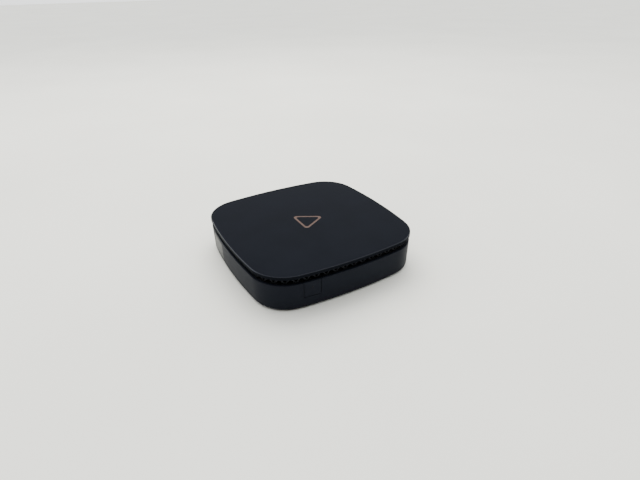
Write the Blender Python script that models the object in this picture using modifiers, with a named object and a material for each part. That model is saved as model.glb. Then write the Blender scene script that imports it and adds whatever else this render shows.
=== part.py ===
"""Compact fan-cooled media player: a moulded tray and lid with a vent band, and the works inside.

Metres, +Z up. The origin is on the standing surface under the middle of the case.
-Y is the front with the power key, +Y the rear with the sockets.
"""
import math

import bmesh
import bpy
from mathutils import Matrix, Vector

# The case outline: a square with bowed sides and wide corners
half_width = 0.0825
corner_radius = 0.0342
side_radius = 0.4410
side_steps = 5
corner_steps = 8

# Heights of the case
height = 0.0350
base_lift = 0.0010
floor_thickness = 0.0022
band_height = 0.0055
lid_thickness = 0.0033
lid_skin = 0.0016
lid_rim = 0.0065
lid_chamfer = 0.0005

# The tray
rim_inset = 0.0005
wall_inset = 0.0030
foot_draft = 0.0006
foot_rounding = 0.0024

# Clearances: between touching pieces, round a screw, and between moving pieces
gap = 0.0003
screw_clearance = 0.0002
running_clearance = 0.0001

# How far a cutter runs past what it cuts, and how deep a joined piece is rooted
cut_past = 0.0050
post_root = 0.0007
weld_distance = 0.000001

# Straight steps round a hole, a small pin, a round piece, and a large or close-fitting one
hole_steps = 8
small_steps = 12
round_steps = 24
fine_steps = 32
bend_steps = 6

# Rubber foot ring and bottom cover
foot_outer_inset = 0.0080
foot_inner_inset = 0.0180
foot_groove = 0.0010
cover_inset = 0.0240
cover_plate = 0.0010
cover_screw_setback = 0.0021
hatch_left = -0.0120
hatch_right = 0.0480
hatch_front_reach = 0.1121
hatch_rear_reach = 0.0471
inlet_slots = 11
inlet_slot_width = 0.0022
inlet_slot_pitch = 0.0046
inlet_length = 0.0360

# Top frame under the vent ring
frame_drop = 0.0033
frame_thickness = 0.0012
frame_post_radius = 0.0034
lid_post_radius = 0.0030
post_corner_setback = 0.0120
lid_post_corner_setback = 0.0225
frame_cutout_right = 0.0400
frame_cutout_front = 0.0250
frame_cutout_rear = 0.0150
key_relief_depth = 0.0021
inlet_frame_margin = 0.0020

# Vent ring: a lattice of triangles between two rails
ring_wall = 0.0015
ring_lower_rail = 0.0007
ring_upper_rail = 0.0007
lattice_windows = 124
lattice_rib = 0.0011

# Screws
screw_radius = 0.0009
screw_head_radius = 0.0018
screw_head_height = 0.0012
screw_key_radius = 0.0009
screw_key_sides = 6
screw_key_floor = 0.4
screw_tip_gap = 0.0010
cover_screw_length = 0.0034
cover_screw_head = 0.0005
frame_screw_length = 0.0060
lid_screw_length = 0.0055
board_screw_length = 0.0040
fan_screw_length = 0.0145
fan_screw_setback = 0.0030

# Emblem: the outline of a rounded triangle, let into the lid
emblem_radius = 0.0180
emblem_corner = 0.0030
emblem_band = 0.0020
emblem_depth = 0.0007

# Power key in the front wall
key_centre_x = -0.0385
key_width = 0.0150
key_foot_z = 0.0115
key_flange = 0.0010
key_flange_margin = 0.0015
key_travel = 0.0006
key_root = 0.0002
key_rib_width = 0.0030
switch_lift = 0.0035
light_drop = 0.0028
light_length = 0.0034
plunger_spare = 0.0004
switch_size = 0.0060
switch_depth = 0.0035
switch_bore_depth = 0.0017
plunger_radius = 0.0016
plunger_length = 0.0020
key_depth_bound = 0.0150
key_board_setback = 0.0156
key_board_share = 0.75
upright_height = 0.0130
upright_thickness = 0.0020
key_board_width = 0.0230
key_board_height = 0.0170
light_radius = 0.0006

# Blank label let into the left wall
label_middle_y = 0.0335
label_length = 0.0280
label_height = 0.0170
label_pocket = 0.0015

# Main board
board_lift = 0.0033
board_thickness = 0.0016
board_left = -0.0700
board_step_x = -0.0205
board_right = 0.0570
board_front_reach = 0.1226
board_step_reach = 0.0806
standoff_radius = 0.0025
board_screw_setback = 0.0038
board_side_screw_reach = 0.0420
cover_post_height = 0.0018

# Rear panel and its window
panel_setback = 0.0089
panel_thickness = 0.0012
panel_half = 0.0560
landing_margin = 0.0016
landing_top_margin = 0.0008
panel_bottom = 0.0042
panel_top = 0.0218
window_margin = 0.0016
port_recess = 0.0003
exhaust_slots = 8
exhaust_slot_width = 0.0020
exhaust_margin = 0.0012

# Sockets: name, middle x, width, height, lift above the board, and depth
sockets = [
    ("audio_jack", -0.0170, 0.0070, 0.0060, 0.0, 0.0120),
    ("power_jack", -0.0075, 0.0090, 0.0100, 0.0, 0.0130),
    ("network_port", 0.0058, 0.0160, 0.0119, 0.0, 0.0150),
    ("video_port", 0.0220, 0.0150, 0.0060, 0.0, 0.0110),
    ("data_port_lower", 0.0378, 0.0140, 0.0058, 0.0, 0.0130),
    ("data_port_upper", 0.0378, 0.0140, 0.0058, 0.0061, 0.0130),
    ("small_data_port", 0.0500, 0.0084, 0.0034, 0.0, 0.0090),
]

# Round sockets: bore radius. Flat ones: shell wall, mouth depth
audio_bore = 0.0018
power_bore = 0.0029
power_pin = 0.0010
round_bore_depth = 0.0090
flat_mouths = {
    "network_port": (0.0016, 0.0120),
    "video_port": (0.0006, 0.0085),
    "data_port_lower": (0.0005, 0.0110),
    "data_port_upper": (0.0005, 0.0110),
    "small_data_port": (0.0004, 0.0070),
}

# Contact tongues: width, thickness, lift in the socket, and length from its back
tongues = {
    "video_port": (0.0110, 0.0014, 0.0023, 0.0090),
    "data_port_lower": (0.0110, 0.0014, 0.0032, 0.0115),
    "data_port_upper": (0.0110, 0.0014, 0.0032, 0.0115),
    "small_data_port": (0.0060, 0.0007, 0.00135, 0.0080),
}

# Blower: its rotor, and the walls of its housing round the rotor
rotor_radius = 0.0190
rotor_clearance = 0.0025
housing_left_wall = 0.0035
housing_right_wall = 0.0015
housing_front_wall = 0.0025
housing_throat = 0.0085
housing_floor = 0.0010
housing_height = 0.0107
housing_lid = 0.0008
fan_lift = 0.0028
fan_board_gap = 0.0015
inlet_radius = 0.0140
rotor_disc = 0.0008
rotor_blades = 20
blade_thickness = 0.0009
blade_root = 0.0110
blade_lean = math.radians(38)
hub_radius = 0.0080
hub_wall = 0.0012
shaft_radius = 0.0010
bearing_radius = 0.0025
bearing_length = 0.0048
sleeve_wall = 0.0009
sleeve_height = 0.0056
disc_lift = 0.0010
blade_top_gap = 0.0007
hub_top_gap = 0.0009
hub_cap = 0.0015
blade_tip_gap = 0.0006
shaft_foot_gap = 0.0004
shaft_top_gap = 0.0018
stator_height = 0.0044
stator_air_gap = 0.0005
stator_slot_depth = 0.0010
outlet_width = 0.0280
outlet_wall_margin = 0.0005

# Cooling
spreader_size = 0.0400
spreader_thickness = 0.0025
processor_x = 0.0180
processor_reach = 0.0566
processor_size = 0.0280
processor_height = 0.0012
pad_thickness = 0.0005
pad_margin = 0.0020
pipe_radius = 0.0020
pipe_bend = 0.0080
pipe_lane_x = -0.0120
pipe_end_margin = 0.0030
pipe_fin_setback = 0.0045
fin_count = 12
fin_thickness = 0.0008
fin_depth = 0.0190
fin_base = 0.0012
fin_inset = 0.0002
fin_setback = 0.0016
fin_rear_gap = 0.0020

# Cards and cell; every setback here is from the board's front edge
card_thickness = 0.0009
card_lift = 0.0024
memory_width = 0.0676
memory_length = 0.0306
memory_setback = 0.0072
memory_offset_x = 0.0033
memory_socket_width = 0.0700
memory_socket_depth = 0.0055
memory_socket_height = 0.0050
memory_entry = 0.0028
wireless_width = 0.0220
wireless_length = 0.0300
wireless_setback = 0.0090
wireless_side_margin = 0.0040
storage_width = 0.0420
storage_length = 0.0185
storage_x = 0.0240
cell_radius = 0.0100
cell_thickness = 0.0026
cell_x = -0.0300
cell_setback = 0.0210
holder_wall = 0.0009
holder_floor = 0.0008
holder_height = 0.0040
antenna_length = 0.0240
antenna_width = 0.0080
antenna_thickness = 0.0008
antenna_setback = 0.0260
antenna_lefts = (-0.0280, 0.0160)

# Values worked out from the above
floor_z = base_lift + floor_thickness
lid_z = height - lid_thickness
rim_z = lid_z - band_height
frame_z = rim_z - frame_drop
ring_z = frame_z + frame_thickness + gap
ring_inset = wall_inset + gap
board_z = floor_z + board_lift
board_top = board_z + board_thickness
panel_y = half_width - panel_setback
board_rear = panel_y - panel_thickness - gap
hatch_front = board_rear - hatch_front_reach
hatch_rear = board_rear - hatch_rear_reach
housing_cavity = rotor_radius + rotor_clearance
housing_left = housing_cavity + housing_left_wall
housing_right = housing_cavity + housing_right_wall
housing_front = housing_cavity + housing_front_wall
housing_rear = housing_cavity + housing_throat
outlet_right = housing_cavity - outlet_wall_margin
outlet_left = outlet_width - outlet_right
fan_x = board_step_x - fan_board_gap - housing_right
fan_y = board_rear - fin_rear_gap - fin_depth - fin_setback - housing_rear
fan_z = floor_z + fan_lift
centre_offset = side_radius - half_width
corner_gap = side_radius - corner_radius
corner_middle = (
    math.sqrt(8 * corner_gap**2 - 4 * centre_offset**2) - 2 * centre_offset
) / 4
bow_angle = math.atan2(corner_middle, corner_middle + centre_offset)


def arc(middle_x, middle_y, radius, start, end, steps):
    """Points along an arc, without its last one."""
    angles = [start + (end - start) * i / steps for i in range(steps)]
    return [
        (middle_x + radius * math.cos(a), middle_y + radius * math.sin(a)) for a in angles
    ]


def outline(inset=0.0):
    """The case's outline, moved in by an inset: four bowed sides and four corners."""
    side = side_radius - inset
    corner = corner_radius - inset
    quarter = arc(-centre_offset, 0, side, -bow_angle, bow_angle, side_steps)
    quarter += arc(
        corner_middle, corner_middle, corner, bow_angle, math.pi / 2 - bow_angle, corner_steps
    )
    points = []
    for turn in range(4):
        spin = Matrix.Rotation(turn * math.pi / 2, 2)
        points += [tuple(spin @ Vector(p)) for p in quarter]
    return points


def outline_place(share, inset):
    """Where a share of the way round the outline is, and the angle that faces outwards there."""
    side = side_radius - inset
    corner = corner_radius - inset
    side_length = 2 * bow_angle * side
    corner_length = (math.pi / 2 - 2 * bow_angle) * corner
    turns, along = divmod(share * 4, 1)
    along *= side_length + corner_length
    if along < side_length:
        angle = along / side - bow_angle
        x = side * math.cos(angle) - centre_offset
        y = side * math.sin(angle)
    else:
        angle = bow_angle + (along - side_length) / corner
        x = corner_middle + corner * math.cos(angle)
        y = corner_middle + corner * math.sin(angle)
    spin = Matrix.Rotation(turns * math.pi / 2, 2)
    x, y = spin @ Vector((x, y))
    return x, y, angle + turns * math.pi / 2


def rectangle(left, right, low, high):
    return [(left, low), (right, low), (right, high), (left, high)]


def disc(radius, steps=fine_steps, x=0.0, y=0.0):
    return arc(x, y, radius, 0, 2 * math.pi, steps)


def rounded_triangle(radius, corner, steps=6):
    """A triangle pointing along +X, with arcs at its corners."""
    points = []
    for turn in range(3):
        facing = turn * math.tau / 3
        reach = radius - 2 * corner
        points += arc(
            reach * math.cos(facing),
            reach * math.sin(facing),
            corner,
            facing - math.pi / 3,
            facing + math.pi / 3,
            steps,
        )
        end = facing + math.pi / 3
        points.append(
            (
                reach * math.cos(facing) + corner * math.cos(end),
                reach * math.sin(facing) + corner * math.sin(end),
            )
        )
    return points


def collection(name):
    made = bpy.data.collections.new(name)
    bpy.context.scene.collection.children.link(made)
    return made


def new_object(name, mesh, location=(0, 0, 0), rotation=(0, 0, 0)):
    obj = bpy.data.objects.new(name, mesh)
    obj.location = location
    obj.rotation_euler = rotation
    parts.objects.link(obj)
    return obj


def mesh_from(name, bm):
    mesh = bpy.data.meshes.new(name)
    bm.to_mesh(mesh)
    bm.free()
    return mesh


def plate(name, loops, low, thickness, place=(0, 0), rotation=(0, 0, 0)):
    """A flat outline with its holes, as a filled curve made solid, from low upwards."""
    curve = bpy.data.curves.new(name, "CURVE")
    curve.dimensions = "2D"
    curve.fill_mode = "BOTH"
    curve.extrude = thickness / 2
    for loop in loops:
        spline = curve.splines.new("POLY")
        spline.points.add(len(loop) - 1)
        spline.use_cyclic_u = True
        for point, (x, y) in zip(spline.points, loop):
            point.co = (x, y, 0, 1)
    guide = new_object(name, curve)
    bpy.context.view_layer.update()
    depsgraph = bpy.context.evaluated_depsgraph_get()
    mesh = bpy.data.meshes.new_from_object(guide.evaluated_get(depsgraph))
    bpy.data.objects.remove(guide)
    bm = bmesh.new()
    bm.from_mesh(mesh)
    bmesh.ops.remove_doubles(bm, verts=bm.verts, dist=weld_distance)
    bmesh.ops.recalc_face_normals(bm, faces=bm.faces)
    bmesh.ops.translate(bm, verts=bm.verts, vec=(0, 0, thickness / 2))
    bm.to_mesh(mesh)
    bm.free()
    return new_object(name, mesh, (place[0], place[1], low), rotation)


def box(name, low, high):
    """A block between two corners, with its origin at its middle."""
    low = Vector(low)
    high = Vector(high)
    bm = bmesh.new()
    bmesh.ops.create_cube(bm, size=1, matrix=Matrix.Diagonal((*(high - low), 1)))
    return new_object(name, mesh_from(name, bm), (low + high) / 2)


def rod(name, radius, low, length, steps=20, rotation=(0, 0, 0)):
    """A round bar that starts at a point and runs along its own Z."""
    bm = bmesh.new()
    bmesh.ops.create_cone(
        bm,
        cap_ends=True,
        segments=steps,
        radius1=radius,
        radius2=radius,
        depth=length,
        matrix=Matrix.Translation((0, 0, length / 2)),
    )
    obj = new_object(name, mesh_from(name, bm), low, rotation)
    obj.data.shade_smooth()
    obj.data.set_sharp_from_angle(angle=math.radians(40))
    return obj


def combine(target, operation, others):
    """Cuts, joins or crops a piece with other solids, which become its cutters."""
    for other in others:
        step = target.modifiers.new(other.name, "BOOLEAN")
        step.operation = operation
        step.object = other
        parts.objects.unlink(other)
        cutters.objects.link(other)
        other.name = "cutter_" + other.name
        other.hide_render = True
        other.display_type = "WIRE"
    return target


def cut(target, *others):
    return combine(target, "DIFFERENCE", others)


def join(target, *others):
    return combine(target, "UNION", others)


def crop(target, *others):
    return combine(target, "INTERSECT", others)


def paint(obj, finish):
    """Gives a piece its material: colour, roughness and metallic value."""
    name, colour, roughness, metallic = finish
    material = bpy.data.materials.get(name)
    if material is None:
        material = bpy.data.materials.new(name)
        material.use_nodes = True
        shader = material.node_tree.nodes["Principled BSDF"]
        shader.inputs["Base Color"].default_value = (*colour, 1)
        shader.inputs["Roughness"].default_value = roughness
        shader.inputs["Metallic"].default_value = metallic
    obj.data.materials.clear()
    obj.data.materials.append(material)
    return obj


slate_abs = ("slate_abs", (0.020, 0.022, 0.028), 0.45, 0.0)
black_abs = ("black_abs", (0.008, 0.008, 0.010), 0.55, 0.0)
rubber = ("foot_rubber", (0.015, 0.015, 0.015), 0.85, 0.0)
copper_ink = ("copper_ink", (0.380, 0.190, 0.120), 0.40, 0.7)
label_film = ("label_film", (0.350, 0.350, 0.350), 0.40, 0.0)
clear_pipe = ("light_pipe", (0.600, 0.600, 0.600), 0.20, 0.0)
steel = ("screw_steel", (0.300, 0.300, 0.310), 0.35, 1.0)
board_mask = ("board_mask", (0.010, 0.060, 0.030), 0.40, 0.0)
chip_resin = ("chip_resin", (0.020, 0.020, 0.022), 0.50, 0.0)
aluminium = ("aluminium", (0.600, 0.610, 0.620), 0.35, 1.0)
copper = ("copper", (0.700, 0.330, 0.200), 0.30, 1.0)
bronze = ("bearing_bronze", (0.450, 0.300, 0.150), 0.40, 1.0)
silicone = ("pad_silicone", (0.300, 0.330, 0.360), 0.80, 0.0)
port_shell = ("port_shell", (0.550, 0.550, 0.560), 0.30, 1.0)


def screw_mesh(length, head_height):
    """One turned cap screw, head up, with its seat at zero and a hexagon socket."""
    profile = [
        (0, head_height),
        (screw_head_radius, head_height),
        (screw_head_radius, 0),
        (screw_radius, 0),
        (screw_radius, -length),
        (0, -length),
    ]
    mesh = bpy.data.meshes.new("screw_profile")
    vertices = [(x, 0, z) for x, z in profile]
    mesh.from_pydata(vertices, [(i, i + 1) for i in range(len(profile) - 1)], [])
    turned = new_object("screw_profile", mesh)
    turn = turned.modifiers.new("turn", "SCREW")
    turn.steps = 10
    turn.render_steps = 10
    turn.use_merge_vertices = True
    turn.merge_threshold = 10 * weld_distance
    socket = rod(
        "screw_socket",
        screw_key_radius,
        (0, 0, head_height * screw_key_floor),
        head_height,
        steps=screw_key_sides,
    )
    cut(turned, socket)
    bpy.context.view_layer.update()
    depsgraph = bpy.context.evaluated_depsgraph_get()
    solid = bpy.data.meshes.new_from_object(turned.evaluated_get(depsgraph))
    bpy.data.objects.remove(turned)
    bpy.data.objects.remove(socket)
    return solid


def screw_set(name, length, places, seat_z, head_height=screw_head_height, upside_down=False):
    """Equal screws at several places; each is its own piece and shares one mesh."""
    mesh = screw_mesh(length, head_height)
    facing = (math.pi, 0, 0) if upside_down else (0, 0, 0)
    for i, (x, y) in enumerate(places):
        paint(new_object(f"{name}_{i + 1}", mesh, (x, y, seat_z), facing), steel)


def corners(setback):
    """The four places on the case's diagonals, a setback in from its corners."""
    reach = corner_middle + (corner_radius - setback) / math.sqrt(2)
    return [(reach, reach), (-reach, reach), (-reach, -reach), (reach, -reach)]


def tray_form(name):
    """The outside of the tray: the outline with draft and a rounded foot, still solid."""
    form = plate(name, [outline(rim_inset)], base_lift, rim_z - base_lift)
    draft = 1 - foot_draft / half_width
    middle = (rim_z - base_lift) / 2
    for vertex in form.data.vertices:
        if vertex.co.z < middle:
            vertex.co.x *= draft
            vertex.co.y *= draft
    weights = form.data.attributes.new("bevel_weight_edge", "FLOAT", "EDGE")
    for edge, weight in zip(form.data.edges, weights.data):
        ends = [form.data.vertices[i].co for i in edge.vertices]
        at_foot = all(end.z < middle for end in ends)
        at_side = all(max(abs(end.x), abs(end.y)) > half_width / 2 for end in ends)
        short = (ends[0] - ends[1]).length < half_width / 3
        weight.value = 1.0 if at_foot and at_side and short else 0.0
    rounding = form.modifiers.new("foot_rounding", "BEVEL")
    rounding.limit_method = "WEIGHT"
    rounding.width = foot_rounding
    rounding.segments = 2
    return form


def front_wall_y(x, inset=0.0):
    """The front wall's place at some distance from the middle, on the bowed stretch."""
    side = side_radius - inset
    return centre_offset - math.sqrt(side**2 - x**2)


def cover_holes():
    return corners(cover_inset + 2 * cover_screw_setback)


def fan_screw_places():
    left = fan_x - housing_left + fan_screw_setback
    right = fan_x + housing_right - fan_screw_setback
    front = fan_y - housing_front + fan_screw_setback
    rear = fan_y + housing_rear - fan_screw_setback
    return [(left, front), (right, front), (left, rear)]


def board_screw_places():
    front = board_rear - board_front_reach + board_screw_setback
    side = board_rear - board_side_screw_reach
    return [
        (board_left + board_screw_setback, front),
        (0.0, front),
        (board_right - board_screw_setback, side),
        (board_step_x + board_screw_setback, side),
    ]


def body_shell():
    shell = tray_form("body_shell")
    cavity = plate("cavity", [outline(wall_inset)], floor_z, height)
    cut(shell, cavity)
    # The landing behind the rear window
    landing = box(
        "landing",
        (-panel_half - landing_margin, panel_y + gap, floor_z - 2 * post_root),
        (panel_half + landing_margin, half_width, panel_top + landing_top_margin),
    )
    crop(landing, plate("landing_bound", [outline(wall_inset / 2)], 0, height))
    window = box(
        "window",
        (-panel_half + window_margin, panel_y - cut_past, panel_bottom + window_margin),
        (panel_half - window_margin, half_width + cut_past, panel_top - window_margin),
    )
    join(shell, landing)
    cut(shell, window)
    # Posts for the frame, the board, the fan and the bottom cover's screws
    posts = []
    for x, y in corners(post_corner_setback):
        low = (x, y, floor_z - post_root)
        posts.append(rod("frame_post", frame_post_radius, low, frame_z - gap - low[2]))
    for x, y in board_screw_places():
        low = (x, y, floor_z - post_root)
        posts.append(rod("standoff", standoff_radius, low, board_z - gap - low[2]))
    for x, y in fan_screw_places():
        low = (x, y, floor_z - post_root)
        posts.append(rod("fan_post", standoff_radius, low, fan_z - gap - low[2]))
    for x, y in cover_holes():
        low = (x, y, floor_z - post_root)
        posts.append(rod("cover_post", standoff_radius, low, cover_post_height + post_root))
    join(shell, *posts)
    # The groove for the foot ring and the recess for the bottom cover
    groove_loops = [outline(foot_outer_inset - gap), outline(foot_inner_inset + gap)]
    groove = plate("groove", groove_loops, 0, base_lift + foot_groove)
    recess = plate("recess", [outline(cover_inset)], 0, base_lift + cover_plate + gap)
    hatch = rectangle(hatch_left, hatch_right, hatch_front, hatch_rear)
    opening = plate("opening", [hatch], 0, floor_z + cut_past)
    cut(shell, groove, recess, opening)
    # Screw holes
    hole = screw_radius + screw_clearance
    holes = []
    for x, y in corners(post_corner_setback):
        low = frame_z + frame_thickness - frame_screw_length - screw_tip_gap
        holes.append(rod("frame_hole", hole, (x, y, low), height, steps=hole_steps))
    for x, y in board_screw_places() + fan_screw_places():
        low = floor_z - floor_thickness / 2
        holes.append(rod("standoff_hole", hole, (x, y, low), height, steps=hole_steps))
    for x, y in cover_holes():
        top = base_lift + cover_screw_length + screw_tip_gap / 4
        holes.append(rod("cover_hole", hole, (x, y, 0), top, steps=hole_steps))
    cut(shell, *holes)
    # The opening for the power key, open to the rim, and the label's pocket
    key_way = box(
        "key_way",
        (key_centre_x - key_width / 2 - gap, -half_width - cut_past, key_foot_z - gap),
        (key_centre_x + key_width / 2 + gap, -half_width + key_depth_bound, rim_z + cut_past),
    )
    cut(shell, key_way, label_block("label_pocket", label_pocket + gap, gap))
    # The upright that holds the key's board
    rear_face = -half_width + key_board_setback + key_board_thickness() + gap
    upright = box(
        "upright",
        (key_centre_x - key_board_width / 2, rear_face, floor_z - post_root),
        (
            key_centre_x + key_board_width / 2,
            rear_face + upright_thickness,
            floor_z + upright_height,
        ),
    )
    join(shell, upright)
    return paint(shell, slate_abs)


def key_board_thickness():
    return board_thickness * key_board_share


def label_block(name, depth, margin):
    """A block through the left wall, less everything deeper in than a depth."""
    low_z = (base_lift + rim_z) / 2 - label_height / 2
    block = box(
        name,
        (-half_width - cut_past, label_middle_y - label_length / 2 - margin, low_z - margin),
        (
            -half_width + 4 * cut_past,
            label_middle_y + label_length / 2 + margin,
            low_z + label_height + margin,
        ),
    )
    return cut(block, plate(name + "_back", [outline(depth)], 0, height))


def side_label():
    label = tray_form("side_label")
    return paint(crop(label, label_block("label_bounds", label_pocket, 0)), label_film)


def foot_ring():
    loops = [outline(foot_outer_inset), outline(foot_inner_inset)]
    return paint(plate("foot_ring", loops, 0, base_lift + foot_groove - gap), rubber)


def bottom_cover():
    loops = [outline(cover_inset + gap)]
    loops += [
        disc(screw_radius + screw_clearance, hole_steps, x, y) for x, y in cover_holes()
    ]
    middle_y = (hatch_front + hatch_rear) / 2
    for i in range(inlet_slots):
        x = (hatch_left + hatch_right) / 2 + (i - (inlet_slots - 1) / 2) * inlet_slot_pitch
        slot = rectangle(
            x - inlet_slot_width / 2,
            x + inlet_slot_width / 2,
            middle_y - inlet_length / 2,
            middle_y + inlet_length / 2,
        )
        loops.append(slot)
    cover = plate("bottom_cover", loops, base_lift, cover_plate)
    return paint(cover, black_abs)


def top_frame():
    loops = [outline(ring_inset)]
    loops += [disc(screw_radius + screw_clearance, hole_steps, *p) for p in corners(post_corner_setback)]
    loops += [
        disc(screw_radius + screw_clearance, hole_steps, *p) for p in corners(lid_post_corner_setback)
    ]
    loops.append(disc(inlet_radius + inlet_frame_margin, fine_steps, fan_x, fan_y))
    over_processor = rectangle(
        0.0, frame_cutout_right, fan_y - frame_cutout_front, fan_y + frame_cutout_rear
    )
    loops.append(over_processor)
    frame = plate("top_frame", loops, frame_z, frame_thickness)
    return paint(cut(frame, key_relief("frame_relief", frame_z - cut_past)), black_abs)


def key_relief(name, low_z):
    """The room that the power key needs behind the front wall, up to the rim."""
    return box(
        name,
        (key_centre_x - key_width / 2 - 2 * gap, -half_width, low_z),
        (
            key_centre_x + key_width / 2 + 2 * gap,
            front_wall_y(key_centre_x, wall_inset) + key_travel + key_relief_depth,
            rim_z + gap,
        ),
    )


def vent_ring():
    top = lid_z - gap
    loops = [outline(ring_inset), outline(ring_inset + ring_wall)]
    ring = plate("vent_ring", loops, ring_z, top - ring_z)
    low = rim_z + ring_lower_rail
    tall = top - ring_upper_rail - low
    middle_inset = ring_inset + ring_wall / 2
    spacing = 4 * (2 * bow_angle * side_radius + (math.pi / 2 - 2 * bow_angle) * corner_radius)
    spacing = (spacing - math.tau * middle_inset) / lattice_windows
    wide = 2 * (spacing - lattice_rib)
    bm = bmesh.new()
    for i in range(lattice_windows):
        x, y, facing = outline_place((i + 0.5) / lattice_windows, middle_inset)
        flip = math.pi if i % 2 else 0
        window = Matrix.Translation((x, y, low + tall * (2 / 3 if i % 2 else 1 / 3)))
        window @= Matrix.Rotation(facing, 4, "Z") @ Matrix.Rotation(flip, 4, "X")
        window @= Matrix.Diagonal((1, wide / math.sqrt(3), tall / 1.5, 1))
        window @= Matrix.Rotation(-math.pi / 2, 4, "Y") @ Matrix.Rotation(-math.pi / 2, 4, "Z")
        bmesh.ops.create_cone(
            bm,
            cap_ends=True,
            segments=3,
            radius1=1,
            radius2=1,
            depth=4 * ring_wall,
            matrix=window,
        )
    bmesh.ops.recalc_face_normals(bm, faces=bm.faces)
    windows = new_object("windows", mesh_from("windows", bm))
    cut(ring, windows, key_relief("ring_relief", frame_z))
    return paint(ring, black_abs)


def top_cover():
    lid = plate("top_cover", [outline()], lid_z, lid_thickness)
    weights = lid.data.attributes.new("bevel_weight_edge", "FLOAT", "EDGE")
    for edge, weight in zip(lid.data.edges, weights.data):
        ends = [lid.data.vertices[i].co for i in edge.vertices]
        at_top = all(end.z > lid_thickness / 2 for end in ends)
        short = (ends[0] - ends[1]).length < half_width / 3
        weight.value = 1.0 if at_top and short else 0.0
    chamfer = lid.modifiers.new("chamfer", "BEVEL")
    chamfer.limit_method = "WEIGHT"
    chamfer.width = lid_chamfer
    chamfer.segments = 1
    hollow_z = lid_z - cut_past
    hollow = plate("lid_hollow", [outline(lid_rim)], hollow_z, height - lid_skin - hollow_z)
    cut(lid, hollow)
    posts = []
    holes = []
    post_z = frame_z + frame_thickness + gap
    for x, y in corners(lid_post_corner_setback):
        post = rod("lid_post", lid_post_radius, (x, y, post_z), height - lid_skin / 2 - post_z)
        posts.append(post)
        hole = screw_radius + screw_clearance
        top = frame_z + lid_screw_length + screw_tip_gap
        holes.append(rod("lid_hole", hole, (x, y, 0), top, steps=hole_steps))
    join(lid, *posts)
    cut(lid, *holes)
    grown = rounded_triangle(emblem_radius + 2 * gap, emblem_corner + gap)
    shrunk = rounded_triangle(
        emblem_radius - 2 * emblem_band - 2 * gap, emblem_corner - emblem_band / 2 - gap
    )
    recess = plate("emblem_recess", [grown, shrunk], height - emblem_depth, 2 * emblem_depth)
    cut(lid, recess)
    return paint(lid, slate_abs)


def cover_emblem():
    outer = rounded_triangle(emblem_radius, emblem_corner)
    inner = rounded_triangle(
        emblem_radius - 2 * emblem_band, emblem_corner - emblem_band / 2
    )
    low = height - emblem_depth + gap
    return paint(plate("cover_emblem", [outer, inner], low, height - low), copper_ink)


def power_key():
    """The key fills its way in the front wall; a flange behind the wall holds it in."""
    key = tray_form("power_key")
    left = key_centre_x - key_width / 2
    right = key_centre_x + key_width / 2
    deep = -half_width + key_depth_bound
    out = -half_width - cut_past
    crop(key, box("key_bounds", (left, out, key_foot_z), (right, deep, height)))
    flange_inset = wall_inset + gap
    cut(key, plate("key_back", [outline(flange_inset + key_root)], 0, height))
    flange = plate(
        "key_flange",
        [outline(flange_inset), outline(flange_inset + key_flange)],
        key_foot_z - key_flange_margin,
        frame_z - gap - key_foot_z + key_flange_margin,
    )
    low = (left - key_flange_margin, out, 0)
    high = (right + key_flange_margin, deep, height)
    crop(flange, box("flange_bounds", low, high))
    rib_front = front_wall_y(key_centre_x, flange_inset + key_flange / 2)
    rib = box(
        "key_rib",
        (key_centre_x - key_rib_width / 2, rib_front, switch_z() - key_rib_width / 2),
        (key_centre_x + key_rib_width / 2, plunger_front() - gap, switch_z() + key_rib_width / 2),
    )
    light_hole = rod(
        "light_hole",
        light_radius + gap,
        (key_centre_x, -half_width, light_z()),
        2 * cut_past,
        steps=small_steps,
        rotation=(-math.pi / 2, 0, 0),
    )
    join(key, flange, rib)
    cut(key, light_hole)
    return paint(key, slate_abs)


def switch_z():
    return key_foot_z + switch_lift


def light_z():
    return frame_z - light_drop


def switch_rear():
    return -half_width + key_board_setback - gap


def plunger_front():
    in_bore = switch_bore_depth - key_travel - plunger_spare
    return switch_rear() - switch_depth + in_bore - plunger_length


def status_light():
    front = front_wall_y(key_centre_x, rim_inset + gap)
    light = rod(
        "status_light",
        light_radius,
        (key_centre_x, front, light_z()),
        light_length,
        steps=hole_steps,
        rotation=(-math.pi / 2, 0, 0),
    )
    return paint(light, clear_pipe)


def switch_plunger():
    plunger = rod(
        "switch_plunger",
        plunger_radius,
        (key_centre_x, plunger_front(), switch_z()),
        plunger_length,
        rotation=(-math.pi / 2, 0, 0),
    )
    return paint(plunger, black_abs)


def key_switch():
    rear = switch_rear()
    body = box(
        "key_switch",
        (key_centre_x - switch_size / 2, rear - switch_depth, switch_z() - switch_size / 2),
        (key_centre_x + switch_size / 2, rear, switch_z() + switch_size / 2),
    )
    bore = rod(
        "switch_bore",
        plunger_radius + 1.5 * running_clearance,
        (key_centre_x, rear - switch_depth - cut_past, switch_z()),
        switch_bore_depth + cut_past,
        rotation=(-math.pi / 2, 0, 0),
    )
    return paint(cut(body, bore), chip_resin)


def key_board():
    front = -half_width + key_board_setback
    board = box(
        "key_board",
        (key_centre_x - key_board_width / 2, front, floor_z + gap),
        (
            key_centre_x + key_board_width / 2,
            front + key_board_thickness(),
            floor_z + gap + key_board_height,
        ),
    )
    return paint(board, board_mask)


def main_board():
    front = board_rear - board_front_reach
    step = board_rear - board_step_reach
    edge = [
        (board_left, front),
        (board_right, front),
        (board_right, board_rear),
        (board_step_x, board_rear),
        (board_step_x, step),
        (board_left, step),
    ]
    loops = [edge]
    loops += [disc(screw_radius + screw_clearance, hole_steps, x, y) for x, y in board_screw_places()]
    return paint(plate("main_board", loops, board_z, board_thickness), board_mask)


def processor_y():
    return board_rear - processor_reach


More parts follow.
